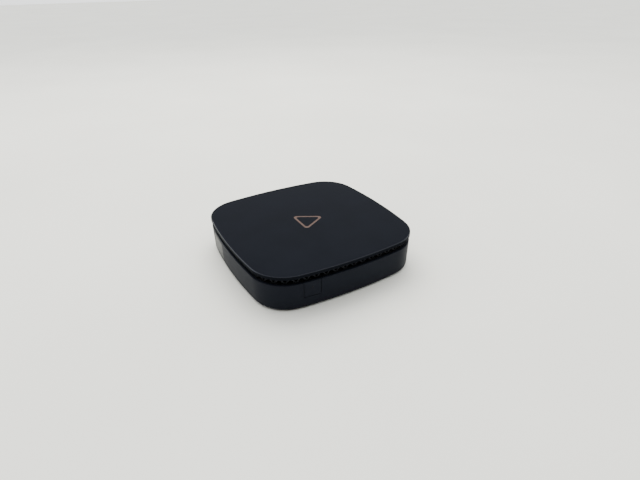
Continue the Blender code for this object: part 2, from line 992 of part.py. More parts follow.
def square_on_board(name, size, low, thick, finish):
    y = processor_y()
    block = box(
        name,
        (processor_x - size / 2, y - size / 2, low),
        (processor_x + size / 2, y + size / 2, low + thick),
    )
    return paint(block, finish)


def spreader_z():
    return board_top + processor_height + pad_thickness + 3 * gap


def processor_stack():
    chip_z = board_top + gap
    square_on_board("processor", processor_size, chip_z, processor_height, chip_resin)
    pad_z = chip_z + processor_height + gap
    square_on_board("thermal_pad", processor_size - 2 * pad_margin, pad_z, pad_thickness, silicone)
    square_on_board("heat_spreader", spreader_size, spreader_z(), spreader_thickness, aluminium)


def pipe_z():
    return spreader_z() + spreader_thickness + gap + pipe_radius


def fin_front():
    return fan_y + housing_rear + fin_setback


def heat_pipe():
    """A copper tube from the spreader, round two bends, and through the fins."""
    y = processor_y()
    turn_y = fin_front() + pipe_fin_setback
    bend = pipe_bend
    route = [(processor_x + spreader_size / 2 - pipe_end_margin, y)]
    first = arc(pipe_lane_x + bend, y + bend, bend, -math.pi / 2, -math.pi, bend_steps)
    route += first + [(pipe_lane_x, y + bend)]
    second = arc(pipe_lane_x - bend, turn_y - bend, bend, 0, math.pi / 2, bend_steps)
    route += second + [(pipe_lane_x - bend, turn_y), (fan_x - outlet_left + gap, turn_y)]
    curve = bpy.data.curves.new("heat_pipe", "CURVE")
    curve.dimensions = "3D"
    curve.bevel_depth = pipe_radius
    curve.bevel_resolution = 2
    curve.use_fill_caps = True
    spline = curve.splines.new("POLY")
    spline.points.add(len(route) - 1)
    for point, (x, y) in zip(spline.points, route):
        point.co = (x, y, pipe_z(), 1)
    return paint(new_object("heat_pipe", curve), copper)


def fin_stack():
    left = fan_x - outlet_left
    right = fan_x + outlet_right
    front = fin_front()
    top = fan_z + housing_height
    base = box("fin_stack", (left, front, fan_z), (right, front + fin_depth, fan_z + fin_base))
    bm = bmesh.new()
    for i in range(fin_count):
        span = right - left - fin_thickness - 2 * fin_inset
        x = left + fin_inset + fin_thickness / 2 + span * i / (fin_count - 1)
        low = fan_z + fin_base / 2
        place = Matrix.Translation((x, front + fin_depth / 2, (low + top) / 2))
        size = Matrix.Diagonal((fin_thickness, fin_depth - 2 * fin_inset, top - low, 1))
        bmesh.ops.create_cube(bm, size=1, matrix=place @ size)
    fins = new_object("fins", mesh_from("fins", bm))
    lane = fin_front() + pipe_fin_setback
    reach = pipe_radius + gap
    channel = box(
        "pipe_channel",
        (left - cut_past, lane - reach, pipe_z() - reach),
        (right + cut_past, lane + reach, top + cut_past),
    )
    return paint(cut(join(base, fins), channel), aluminium)


def housing_outline():
    return rectangle(-housing_left, housing_right, -housing_front, housing_rear)


def fan_bores(height_from):
    """The holes for the blower's three long screws."""
    hole = screw_radius + screw_clearance
    return [rod("fan_bore", hole, (x, y, height_from), height, hole_steps) for x, y in fan_screw_places()]


def fan_housing():
    housing = plate(
        "fan_housing", [housing_outline()], fan_z, housing_height, place=(fan_x, fan_y)
    )
    floor = fan_z + housing_floor
    chamber = rod("chamber", housing_cavity, (fan_x, fan_y, floor), height, steps=40)
    outlet = box(
        "outlet",
        (fan_x - outlet_left, fan_y, floor),
        (fan_x + outlet_right, fan_y + housing_rear + cut_past, height),
    )
    cut(housing, chamber, outlet)
    sleeve_foot = (fan_x, fan_y, fan_z + housing_floor / 2)
    sleeve = rod(
        "sleeve", bearing_radius + gap + sleeve_wall, sleeve_foot, sleeve_height - housing_floor / 2
    )
    join(housing, sleeve)
    seat = rod("bearing_seat", bearing_radius + gap, (fan_x, fan_y, floor), height)
    cut(housing, seat, *fan_bores(0))
    return paint(housing, black_abs)


def fan_lid():
    hole = screw_radius + screw_clearance
    loops = [housing_outline(), disc(inlet_radius, fine_steps)]
    loops += [disc(hole, hole_steps, x - fan_x, y - fan_y) for x, y in fan_screw_places()]
    low = fan_z + housing_height + gap
    return paint(plate("fan_lid", loops, low, housing_lid, place=(fan_x, fan_y)), aluminium)


def fan_rotor():
    """Hub cup, disc and leaning blades in one moulding, turning about its own Z."""
    low = fan_z + housing_floor + disc_lift
    top = fan_z + housing_height - blade_top_gap
    bm = bmesh.new()
    bmesh.ops.create_cone(
        bm,
        cap_ends=True,
        segments=fine_steps,
        radius1=rotor_radius,
        radius2=rotor_radius,
        depth=rotor_disc,
        matrix=Matrix.Translation((0, 0, rotor_disc / 2)),
    )
    rotor = new_object("fan_rotor", mesh_from("fan_rotor", bm), (fan_x, fan_y, low))
    bm = bmesh.new()
    long = rotor_radius - blade_root - blade_tip_gap
    for i in range(rotor_blades):
        spin = Matrix.Rotation(i * math.tau / rotor_blades, 4, "Z")
        lean = Matrix.Translation((blade_root, 0, 0)) @ Matrix.Rotation(blade_lean, 4, "Z")
        tall = top - low - rotor_disc / 2
        size = Matrix.Diagonal((long, blade_thickness, tall, 1))
        place = spin @ lean @ Matrix.Translation((long / 2, 0, rotor_disc / 2 + tall / 2)) @ size
        bmesh.ops.create_cube(bm, size=1, matrix=place)
    blades = new_object("blades", mesh_from("blades", bm), (fan_x, fan_y, low))
    hub_foot = low + rotor_disc / 4
    hub_top = top - hub_top_gap
    hub = rod("hub", hub_radius, (fan_x, fan_y, hub_foot), hub_top - hub_foot, steps=fine_steps)
    cup_foot = low - cut_past
    cup = rod(
        "hub_cup",
        hub_radius - hub_wall,
        (fan_x, fan_y, cup_foot),
        hub_top - hub_cap - cup_foot,
        steps=fine_steps,
    )
    bore = rod("hub_bore", shaft_radius + running_clearance, (fan_x, fan_y, low), height, steps=round_steps)
    cut(join(rotor, blades, hub), cup, bore)
    return paint(rotor, black_abs)


def fan_shaft():
    low = fan_z + housing_floor + shaft_foot_gap
    top = fan_z + housing_height - shaft_top_gap
    return paint(rod("fan_shaft", shaft_radius, (fan_x, fan_y, low), top - low, steps=round_steps), steel)


def fan_bearing():
    loops = [disc(bearing_radius, round_steps), disc(shaft_radius + running_clearance, round_steps)]
    low = fan_z + housing_floor + gap
    return paint(plate("fan_bearing", loops, low, bearing_length, place=(fan_x, fan_y)), bronze)


def fan_stator():
    """The coil ring round the bearing sleeve, with slots between its poles."""
    inner = bearing_radius + 2 * gap + sleeve_wall
    outer = hub_radius - hub_wall - stator_air_gap
    low = fan_z + housing_floor + gap
    loops = [disc(outer, round_steps), disc(inner, round_steps)]
    stator = plate("fan_stator", loops, low, stator_height, place=(fan_x, fan_y))
    slots = []
    for quarter in range(4):
        angle = quarter * math.pi / 2 + math.pi / 4
        reach = stator_slot_depth
        slot = box("slot", (-reach, -reach / 2, 0), (reach, reach / 2, height))
        slot.location.x = fan_x + outer * math.cos(angle)
        slot.location.y = fan_y + outer * math.sin(angle)
        slot.rotation_euler.z = angle
        slots.append(slot)
    return paint(cut(stator, *slots), copper)


def port_box(entry):
    """A socket's block, from its place over the board's rear edge."""
    name, x, width, tall, lift, depth = entry
    rear = panel_y - port_recess
    low_z = board_top + gap + lift
    return (x - width / 2, rear - depth, low_z), (x + width / 2, rear, low_z + tall)


def rear_panel():
    """A flat pressed plate with a cut-out for each socket and slots for the fan's air."""
    loops = [rectangle(-panel_half, panel_half, panel_bottom, panel_top)]
    merged = {}
    for entry in sockets:
        low, high = port_box(entry)
        key = entry[1]
        before = merged.get(key, (low, high))
        merged[key] = (before[0], (high[0], high[1], max(high[2], before[1][2])))
    for low, high in merged.values():
        loops.append(rectangle(low[0] - gap, high[0] + gap, low[2] - gap, high[2] + gap))
    low = fan_z + exhaust_margin
    top = fan_z + housing_height - exhaust_margin
    left = fan_x - outlet_left + exhaust_margin
    pitch = (outlet_width - 2 * exhaust_margin) / exhaust_slots
    for i in range(exhaust_slots):
        x = left + pitch * (i + 0.5)
        half_slot = exhaust_slot_width / 2
        loops.append(rectangle(x - half_slot, x + half_slot, low, top))
    panel = plate(
        "rear_panel", loops, 0, panel_thickness, place=(0, panel_y), rotation=(math.pi / 2, 0, 0)
    )
    return paint(panel, black_abs)


def port_block(entry):
    low, high = port_box(entry)
    return box(entry[0], low, high)


def round_socket(entry, radius, pin_radius=0.0):
    """A moulded block with a round bore, and a pin in its middle if it has one."""
    name, x = entry[:2]
    low, high = port_box(entry)
    middle_z = (low[2] + high[2]) / 2
    bore = rod(
        name + "_bore",
        radius,
        (x, high[1] + cut_past, middle_z),
        round_bore_depth + cut_past,
        rotation=(math.pi / 2, 0, 0),
    )
    jack = cut(port_block(entry), bore)
    if pin_radius:
        pin = rod(
            name + "_pin",
            pin_radius,
            (x, high[1] - pin_radius, middle_z),
            round_bore_depth,
            steps=small_steps,
            rotation=(math.pi / 2, 0, 0),
        )
        join(jack, pin)
    return paint(jack, chip_resin)


def flat_socket(entry):
    """A pressed shell with its mouth to the rear, and a contact tongue from its back wall."""
    name, x = entry[:2]
    wall, depth = flat_mouths[name]
    low, high = port_box(entry)
    mouth = box(
        name + "_mouth",
        (low[0] + wall, high[1] - depth, low[2] + wall),
        (high[0] - wall, high[1] + cut_past, high[2] - wall),
    )
    socket = cut(port_block(entry), mouth)
    if name in tongues:
        width, thick, lift, length = tongues[name]
        tongue = box(
            name + "_tongue",
            (x - width / 2, low[1] + wall, low[2] + lift),
            (x + width / 2, low[1] + length, low[2] + lift + thick),
        )
        join(socket, tongue)
    return paint(socket, port_shell)


def ports():
    for entry in sockets:
        if entry[0] == "audio_jack":
            round_socket(entry, audio_bore)
        elif entry[0] == "power_jack":
            round_socket(entry, power_bore, power_pin)
        else:
            flat_socket(entry)


def memory_socket(x, front):
    """An edge connector on the board, with a slot that the module's edge slides into."""
    low = board_top + gap
    half = memory_socket_width / 2
    socket = box(
        "memory_socket",
        (x - half, front, low),
        (x + half, front + memory_socket_depth, low + memory_socket_height),
    )
    slot_half = memory_width / 2 + gap
    slot = box(
        "memory_slot",
        (x - slot_half, front - cut_past, low + card_lift - gap),
        (x + slot_half, front + memory_entry + gap, low + card_lift + card_thickness + gap),
    )
    return paint(cut(socket, slot), chip_resin)


def flat_card(name, x, front, width, length):
    low = board_top + gap + card_lift
    card = box(
        name,
        (x - width / 2, front, low),
        (x + width / 2, front + length, low + card_thickness),
    )
    return paint(card, board_mask)


def cards():
    front = board_rear - board_front_reach
    memory_x = (board_step_x + board_right) / 2 + memory_offset_x
    memory_front = front + memory_setback
    memory_socket(memory_x, memory_front + memory_length - memory_entry)
    flat_card("memory_module", memory_x, memory_front, memory_width, memory_length)
    wireless_x = board_left + wireless_side_margin + wireless_width / 2
    flat_card("wireless_card", wireless_x, front + wireless_setback, wireless_width, wireless_length)
    storage_front = processor_y() + spreader_size / 2 + fan_board_gap
    flat_card("storage_module", storage_x, storage_front, storage_width, storage_length)


def coin_cell():
    """A button cell lying in a shallow round holder on the board."""
    place = (cell_x, board_rear - board_front_reach + cell_setback)
    low = board_top + gap
    holder_radius = cell_radius + gap + holder_wall
    cup = rod("coin_cell_holder", holder_radius, (*place, low), holder_height, steps=round_steps)
    well_z = low + holder_floor
    well = rod("cell_well", cell_radius + gap, (*place, well_z), holder_height, steps=round_steps)
    paint(cut(cup, well), black_abs)
    paint(rod("coin_cell", cell_radius, (*place, well_z + gap), cell_thickness, steps=round_steps), steel)


def antennas():
    """Two printed aerials lying on the top frame, well away from the fan."""
    low = frame_z + frame_thickness + gap
    y = -half_width + antenna_setback
    for i, x in enumerate(antenna_lefts):
        strip = box(
            f"antenna_{i + 1}",
            (x, y, low),
            (x + antenna_length, y + antenna_width, low + antenna_thickness),
        )
        paint(strip, copper)


for leftover in list(bpy.data.objects):
    bpy.data.objects.remove(leftover)
parts = collection("media_player")
cutters = collection("cutters")

body_shell()
bottom_cover()
foot_ring()
top_frame()
vent_ring()
top_cover()
cover_emblem()
side_label()
power_key()
status_light()
switch_plunger()
key_switch()
key_board()
main_board()
processor_stack()
heat_pipe()
fin_stack()
fan_housing()
fan_lid()
fan_rotor()
fan_shaft()
fan_bearing()
fan_stator()
rear_panel()
ports()
cards()
coin_cell()
antennas()
screw_set(
    "base_screw",
    cover_screw_length,
    cover_holes(),
    base_lift - gap,
    cover_screw_head,
    upside_down=True,
)
frame_seat = frame_z + frame_thickness + gap
fan_seat = fan_z + housing_height + housing_lid + 2 * gap
lid_screw_places = corners(lid_post_corner_setback)
screw_set("frame_screw", frame_screw_length, corners(post_corner_setback), frame_seat)
screw_set("lid_screw", lid_screw_length, lid_screw_places, frame_z - gap, upside_down=True)
screw_set("board_screw", board_screw_length, board_screw_places(), board_top + gap)
screw_set("fan_screw", fan_screw_length, fan_screw_places(), fan_seat)
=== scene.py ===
"""Fan-cooled media player: the finished surfaces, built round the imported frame.

Metres, +Z up, front wall towards -Y. The sections go from the tray up to the lid, then to the rear
sockets, and last to the works inside.
"""

import math

import bmesh
import bpy
from mathutils import Matrix, Vector


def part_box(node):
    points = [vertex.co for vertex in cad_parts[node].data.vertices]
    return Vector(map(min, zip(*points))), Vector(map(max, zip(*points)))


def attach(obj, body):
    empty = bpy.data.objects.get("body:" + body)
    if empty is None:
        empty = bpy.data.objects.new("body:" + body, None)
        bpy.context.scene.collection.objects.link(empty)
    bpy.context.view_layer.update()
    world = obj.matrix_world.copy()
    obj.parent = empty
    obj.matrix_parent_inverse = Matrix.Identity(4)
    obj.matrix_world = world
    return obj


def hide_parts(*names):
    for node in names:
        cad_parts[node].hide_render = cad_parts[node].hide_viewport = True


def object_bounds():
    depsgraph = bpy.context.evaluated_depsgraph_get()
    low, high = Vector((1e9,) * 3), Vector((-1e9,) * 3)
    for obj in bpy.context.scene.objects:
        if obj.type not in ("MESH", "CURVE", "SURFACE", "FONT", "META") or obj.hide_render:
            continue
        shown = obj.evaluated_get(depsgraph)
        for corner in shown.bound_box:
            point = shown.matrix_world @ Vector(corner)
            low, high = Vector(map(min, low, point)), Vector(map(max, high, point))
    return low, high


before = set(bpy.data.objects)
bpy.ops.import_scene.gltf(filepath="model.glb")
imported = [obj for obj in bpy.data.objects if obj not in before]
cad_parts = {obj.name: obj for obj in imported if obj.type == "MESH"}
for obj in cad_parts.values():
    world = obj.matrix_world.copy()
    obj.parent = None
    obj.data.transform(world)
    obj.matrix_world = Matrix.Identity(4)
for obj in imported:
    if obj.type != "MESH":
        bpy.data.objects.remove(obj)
cad_low, cad_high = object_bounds()

# --- Camera, floor and light ------------------------------------------------------------------
# A wide phone-like lens stands close by the near left corner and looks down at about thirty
# degrees. The floor is a pale matte sheet. Most light is a glow from behind and above, which
# leaves the room's other side dark; two soft panels behind the object add to it.
camera_data = bpy.data.cameras.new("camera")
camera_data.lens = 25.55
camera_data.sensor_width = 36
camera_data.clip_start = 0.01
camera = bpy.data.objects.new("camera", camera_data)
camera_place = Vector((-0.1809, -0.3455, 0.2402))
camera_aim = Vector((0.0069, -0.0124, 0.0170))
camera_roll = math.radians(-0.73)
camera.location = camera_place
facing = (camera_aim - camera_place).to_track_quat("-Z", "Y")
camera.rotation_euler = (facing.to_matrix() @ Matrix.Rotation(camera_roll, 3, "Z")).to_euler()
bpy.context.scene.collection.objects.link(camera)
bpy.context.scene.camera = camera


def srgb(code):
    """An sRGB hex colour as linear red, green, blue and alpha."""
    channels = [int(code[i : i + 2], 16) / 255 for i in (0, 2, 4)]
    linear = [c / 12.92 if c <= 0.04045 else ((c + 0.055) / 1.055) ** 2.4 for c in channels]
    return (*linear, 1.0)


def add_node(tree, kind, inputs=None, **settings):
    """Adds a node, sets what it is told, and fills each input with a value or a link."""
    node = tree.nodes.new(kind)
    for name, value in settings.items():
        setattr(node, name, value)
    for name, value in (inputs or {}).items():
        if isinstance(value, bpy.types.NodeSocket):
            tree.links.new(value, node.inputs[name])
        else:
            node.inputs[name].default_value = value
    return node


def new_material(name, colour, roughness, metallic=0.0, **extra):
    """A Principled material with Object coordinates ready to be patterned."""
    material = bpy.data.materials.new(name)
    material.use_nodes = True
    tree = material.node_tree
    shader = tree.nodes["Principled BSDF"]
    shader.inputs["Base Color"].default_value = srgb(colour)
    shader.inputs["Roughness"].default_value = roughness
    shader.inputs["Metallic"].default_value = metallic
    for socket, value in extra.items():
        shader.inputs[socket.replace("_", " ")].default_value = value
    place = add_node(tree, "ShaderNodeTexCoord").outputs["Object"]
    return material, tree, shader, place


def tint(tree, shader, factor, dark, light, low=0.3, high=0.7):
    """Lets a pattern move the base colour between two tones."""
    ramp = add_node(tree, "ShaderNodeValToRGB", {0: factor})
    ramp.color_ramp.elements[0].position = low
    ramp.color_ramp.elements[0].color = srgb(dark)
    ramp.color_ramp.elements[1].position = high
    ramp.color_ramp.elements[1].color = srgb(light)
    tree.links.new(ramp.outputs["Color"], shader.inputs["Base Color"])


def vary_roughness(tree, shader, factor, smooth, rough):
    """Lets a pattern move the roughness between two values."""
    spread = add_node(tree, "ShaderNodeMapRange", {"Value": factor, "To Min": smooth, "To Max": rough})
    tree.links.new(spread.outputs[0], shader.inputs["Roughness"])


def emboss(tree, shader, height, depth, strength=1.0):
    """Raises a pattern by a real depth in metres."""
    bump = add_node(tree, "ShaderNodeBump", {"Height": height, "Distance": depth, "Strength": strength})
    tree.links.new(bump.outputs["Normal"], shader.inputs["Normal"])


def grain(tree, place, size, detail=4.0, **settings):
    """Noise whose blobs are about one size across, in metres."""
    inputs = {"Vector": place, "Scale": 1 / size, "Detail": detail}
    return add_node(tree, "ShaderNodeTexNoise", inputs, **settings).outputs["Fac"]


def maths(tree, operation, *terms):
    """What a math node makes of its terms."""
    return add_node(tree, "ShaderNodeMath", dict(enumerate(terms)), operation=operation).outputs[0]


floor_material, tree, shader, place = new_material("matte_paper_sweep", "ecebe3", 0.9)
tint(tree, shader, grain(tree, place, 0.25, 3.0), "e9e8e0", "efeee6")
emboss(tree, shader, grain(tree, place, 0.0012), 0.00004)

floor_reach = 12.0
bm = bmesh.new()
bmesh.ops.create_grid(bm, x_segments=8, y_segments=8, size=floor_reach / 2)
floor_mesh = bpy.data.meshes.new("floor")
bm.to_mesh(floor_mesh)
bm.free()
floor = bpy.data.objects.new("floor", floor_mesh)
floor.data.materials.append(floor_material)
bpy.context.scene.collection.objects.link(floor)


def soft_panel(name, place, aim, wide, deep, watts, colour):
    """A rectangular area light turned to face a point."""
    data = bpy.data.lights.new(name, "AREA")
    data.shape = "RECTANGLE"
    data.size = wide
    data.size_y = deep
    data.energy = watts
    data.color = srgb(colour)[:3]
    panel = bpy.data.objects.new(name, data)
    panel.location = place
    panel.rotation_euler = (Vector(aim) - Vector(place)).to_track_quat("-Z", "Y").to_euler()
    bpy.context.scene.collection.objects.link(panel)


soft_panel("overhead_panel", (0.20, 0.70, 1.1), (0, 0, 0), 1.2, 1.0, 17, "fffcf4")
soft_panel("left_panel", (-1.3, 0.8, 0.7), (0, 0, 0), 0.8, 0.8, 2.6, "eef3ff")
world = bpy.data.worlds.new("pale_room")
bpy.context.scene.world = world
world.use_nodes = True
sky = world.node_tree.nodes["Background"]
sky.inputs["Color"].default_value = srgb("e4e6e6")
sky_direction = add_node(world.node_tree, "ShaderNodeTexCoord").outputs["Generated"]
towards_tent = add_node(
    world.node_tree,
    "ShaderNodeVectorMath",
    {0: sky_direction, 1: (0.28, 0.58, 0.76)},
    operation="DOT_PRODUCT",
).outputs["Value"]
tent_glow = add_node(
    world.node_tree,
    "ShaderNodeMapRange",
    {"Value": towards_tent, "From Min": -0.08, "To Min": 0.1, "To Max": 4.3},
)
world.node_tree.links.new(tent_glow.outputs[0], sky.inputs["Strength"])

# --- Tray -------------------------------------------------------------------------------------
# The tray is one ABS moulding: a floor and a smooth wall with a little draft and a rounded foot.
# A fine spark-eroded mould gives it a matte slate skin. The rear window, the key's way and the
# label's pocket are open to the wall.
half_width = cad_high.x
corner_radius = 0.0342
side_radius = 0.4410
side_points = 20
corner_points = 24
from_middle = side_radius - half_width
across = side_radius - corner_radius
corner_middle = (math.sqrt(8 * across**2 - 4 * from_middle**2) - 2 * from_middle) / 4
bow_angle = math.atan2(corner_middle, corner_middle + from_middle)
gap = 0.0003

tray_low, tray_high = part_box("body_shell")
base_z = tray_low.z
rim_z = tray_high.z
rim_inset = 0.0005
foot_inset = 0.0011
wall_inset = 0.0030
floor_z = base_z + 0.0022


def case_outline(inset):
    """The bowed square moved in by an inset: each side and each corner is an arc."""
    points = []
    for turn in range(4):
        spin = Matrix.Rotation(turn * math.pi / 2, 2)
        for i in range(side_points):
            angle = bow_angle * (2 * i / side_points - 1)
            reach = side_radius - inset
            x = reach * math.cos(angle) - from_middle
            points.append(spin @ Vector((x, reach * math.sin(angle))))
        for i in range(corner_points):
            angle = bow_angle + (math.pi / 2 - 2 * bow_angle) * i / corner_points
            reach = corner_radius - inset
            x = corner_middle + reach * math.cos(angle)
            y = corner_middle + reach * math.sin(angle)
            points.append(spin @ Vector((x, y)))
    return points


def finish_mesh(name, bm, material, crease=30):
    """Turns a bmesh into a linked object with its material and smooth shading."""
    bmesh.ops.recalc_face_normals(bm, faces=bm.faces)
    mesh = bpy.data.meshes.new(name)
    bm.to_mesh(mesh)
    bm.free()
    mesh.materials.append(material)
    mesh.shade_smooth()
    mesh.set_sharp_from_angle(angle=math.radians(crease))
    piece = bpy.data.objects.new(name, mesh)
    bpy.context.scene.collection.objects.link(piece)
    return piece


def loft(name, profile, material, closed=False, crease=30):
    """Runs a profile of (inset, height) pairs round the case outline, capped unless closed."""
    bm = bmesh.new()
    rings = []
    for inset, z in profile:
        rings.append([bm.verts.new((x, y, z)) for x, y in case_outline(inset)])
    pairs = list(zip(rings, rings[1:]))
    if closed:
        pairs.append((rings[-1], rings[0]))
    for lower, upper in pairs:
        count = len(lower)
        for i in range(count):
            j = (i + 1) % count
            bm.faces.new((lower[i], lower[j], upper[j], upper[i]))
    if not closed:
        bm.faces.new(rings[0])
        bm.faces.new(rings[-1])
    return finish_mesh(name, bm, material, crease)


def rounding(middle_inset, middle_z, radius, start, end, steps=5):
    """Profile points round an edge; the angles are in degrees, 180 outwards and 90 up."""
    points = []
    for i in range(steps + 1):
        angle = math.radians(start + (end - start) * i / steps)
        points.append((middle_inset + radius * math.cos(angle), middle_z + radius * math.sin(angle)))
    return points


def block(low, high, soften=0.0, soften_steps=2):
    """A plain rectangular bmesh between two corners, with rounded edges if asked."""
    low, high = Vector(low), Vector(high)
    bm = bmesh.new()
    place = Matrix.Translation((low + high) / 2) @ Matrix.Diagonal((*(high - low), 1))
    bmesh.ops.create_cube(bm, size=1, matrix=place)
    if soften:
        bmesh.ops.bevel(
            bm, geom=bm.edges, offset=soften, segments=soften_steps, profile=0.5, affect="EDGES"
        )
    return bm


def rounded_bar(low, high, radius, along="Y", steps=5):
    """A straight bar between two corners; its section is a rectangle with round corners."""
    low, high = Vector(low), Vector(high)
    u, v, w = {"Y": (0, 2, 1), "Z": (0, 1, 2)}[along]
    bm = bmesh.new()
    loop = []
    for turn, (right, top) in enumerate(((1, 1), (0, 1), (0, 0), (1, 0))):
        middle_u = high[u] - radius if right else low[u] + radius
        middle_v = high[v] - radius if top else low[v] + radius
        for i in range(steps + 1):
            angle = math.pi / 2 * (turn + i / steps)
            place = Vector()
            place[u] = middle_u + radius * math.cos(angle)
            place[v] = middle_v + radius * math.sin(angle)
            place[w] = low[w]
            loop.append(bm.verts.new(place))
    raised = bmesh.ops.extrude_face_region(bm, geom=[bm.faces.new(loop)])["geom"]
    ends = [v for v in raised if isinstance(v, bmesh.types.BMVert)]
    shift = Vector()
    shift[w] = high[w] - low[w]
    bmesh.ops.translate(bm, verts=ends, vec=shift)
    return bm


def settled(piece, name=None):
    """The piece with its modifiers made real, as a new plain object; the old one goes."""
    bpy.context.view_layer.update()
    depsgraph = bpy.context.evaluated_depsgraph_get()
    mesh = bpy.data.meshes.new_from_object(piece.evaluated_get(depsgraph))
    made = bpy.data.objects.new("settling", mesh)
    bpy.context.scene.collection.objects.link(made)
    name = name or piece.name
    bpy.data.objects.remove(piece)
    made.name = name
    mesh.name = name
    return made


def carve(piece, *tools, operation="DIFFERENCE", crease=30):
    """Cuts, crops or joins a piece with tool solids, which are then removed."""
    for tool in tools:
        step = piece.modifiers.new("carve", "BOOLEAN")
        step.operation = operation
        step.object = tool
    made = settled(piece)
    for tool in tools:
        bpy.data.objects.remove(tool)
    made.data.shade_smooth()
    made.data.set_sharp_from_angle(angle=math.radians(crease))
    return made


def fitted(slot, *pieces, for_nodes=(), body="case"):
    """Gives pieces a body and hides the CAD nodes named, which they stand in for; the slot is not used.
    """
    if for_nodes:
        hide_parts(*for_nodes)
    for piece in pieces:
        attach(piece, body)


def moulded_abs(name, colour, shade, roughness, gloss=0.14):
    """Injection-moulded ABS from a spark-eroded tool: a fine even grain and a soft matte sheen.

    The real grain is about 0.1 mm; it is drawn at 0.25 mm so that it shows.
    """
    material, tree, shader, place = new_material(
        name, colour, roughness, IOR=1.54, Specular_IOR_Level=gloss, Specular_Tint=srgb("d6dcf0")
    )
    fine = grain(tree, place, 0.00025, 3.0)
    broad = grain(tree, place, 0.030, 2.0)
    mixed = maths(tree, "ADD", fine, broad)
    halved = maths(tree, "MULTIPLY", mixed, 0.5)
    tint(tree, shader, halved, shade, colour)
    vary_roughness(tree, shader, halved, roughness - 0.06, roughness + 0.06)
    emboss(tree, shader, fine, 0.00003, 0.5)
    return material


slate_abs = moulded_abs("slate_abs_moulded", "1d2027", "191b22", 0.44, gloss=0.035)
black_abs = moulded_abs("black_abs_moulded", "0b0c10", "07080a", 0.5, gloss=0.2)

groove_outer = 0.0077
groove_inner = 0.0183
groove_top = base_z + 0.0010
recess_inset = 0.0240
recess_top = base_z + 0.0013
foot_radius = 0.0024
rim_radius = 0.0004


def tray_solid(name):
    """The tray before its openings are cut, from the recess below round to the floor inside."""
    profile = [(recess_inset, recess_top), (recess_inset, base_z)]
    profile += [(groove_inner, base_z), (groove_inner, groove_top)]
    profile += [(groove_outer, groove_top), (groove_outer, base_z)]
    profile += rounding(foot_inset + foot_radius, base_z + foot_radius, foot_radius, 270, 180, 8)
    profile += rounding(rim_inset + rim_radius, rim_z - rim_radius, rim_radius, 180, 90, 4)
    profile += rounding(wall_inset - rim_radius, rim_z - rim_radius, rim_radius, 90, 0, 4)
    profile += [(wall_inset, floor_z)]
    return loft(name, profile, slate_abs)


key_low, key_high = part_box("power_key")
key_flange = 0.0015
key_left = key_low.x + key_flange
key_right = key_high.x - key_flange
key_foot = key_low.z + key_flange
key_seam = 0.0005
wall_depth = 0.015
label_low, label_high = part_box("side_label")
panel_low, panel_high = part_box("rear_panel")
window_margin = 0.0016

key_way = finish_mesh(
    "key_way",
    block(
        (key_left - key_seam, -half_width - wall_depth, key_foot - key_seam),
        (key_right + key_seam, -half_width + wall_depth, rim_z + wall_depth),
    ),
    slate_abs,
)
window = finish_mesh(
    "window",
    block(
        (panel_low.x + window_margin, panel_low.y, panel_low.z + window_margin),
        (panel_high.x - window_margin, half_width + wall_depth, panel_high.z - window_margin),
        soften=0.0012,
        soften_steps=4,
    ),
    slate_abs,
)
label_depth = 0.0005
label_bounds = finish_mesh(
    "label_bounds",
    block(
        (-half_width - wall_depth, label_low.y - gap / 2, label_low.z - gap / 2),
        (-half_width + wall_depth, label_high.y + gap / 2, label_high.z + gap / 2),
    ),
    slate_abs,
)
label_core = loft(
    "label_core", [(foot_inset + label_depth, 0.0), (rim_inset + label_depth, rim_z)], slate_abs
)
label_pocket = carve(label_bounds, label_core)
tray = carve(tray_solid("tray"), key_way, window, label_pocket)
fitted("slate_abs", tray, for_nodes=["body_shell"])

# --- Power key --------------------------------------------------------------------------------
# The key is moulded with the wall's own curve and fills its way in the front wall, so that only
# a fine seam shows. A light pipe as thick as a pencil lead ends in its face.
key_block = finish_mesh(
    "key_block",
    block(
        (key_left, -half_width - wall_depth, key_foot),
        (key_right, -half_width + wall_depth, rim_z + 0.001),
        soften=0.0002,
    ),
    slate_abs,
)
key_shell = carve(tray_solid("key_shell"), key_block, operation="INTERSECT")
key_shell.name = "power_key_cap"
flange_inset = wall_inset + gap
flange_thickness = 0.0010
flange_drop = 0.0036
flange_band = loft(
    "power_key_flange",
    [
        (flange_inset, key_low.z),
        (flange_inset, key_high.z),
        (flange_inset + flange_thickness, key_high.z),
        (flange_inset + flange_thickness, key_low.z),
    ],
    slate_abs,
    closed=True,
)
flange_block = finish_mesh(
    "flange_block",
    block(
        (key_low.x, -half_width - wall_depth, key_low.z),
        (key_high.x, -half_width + wall_depth, key_high.z - flange_drop),
        soften=0.0004,
    ),
    slate_abs,
)
flange = carve(flange_band, flange_block, operation="INTERSECT")
switch_low, switch_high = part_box("switch_plunger")
switch_middle = (switch_low + switch_high) / 2
rib_width = 0.0030
rib = finish_mesh(
    "power_key_rib",
    block(
        (
            switch_middle.x - rib_width / 2,
            key_low.y + flange_inset + flange_thickness,
            switch_middle.z - rib_width / 2,
        ),
        (switch_middle.x + rib_width / 2, key_high.y, switch_middle.z + rib_width / 2),
        soften=0.0002,
    ),
    slate_abs,
)
pipe_low, pipe_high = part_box("status_light")
pipe_radius = (pipe_high.z - pipe_low.z) / 2
pipe_middle = (pipe_low + pipe_high) / 2
pipe_fit = 0.00008


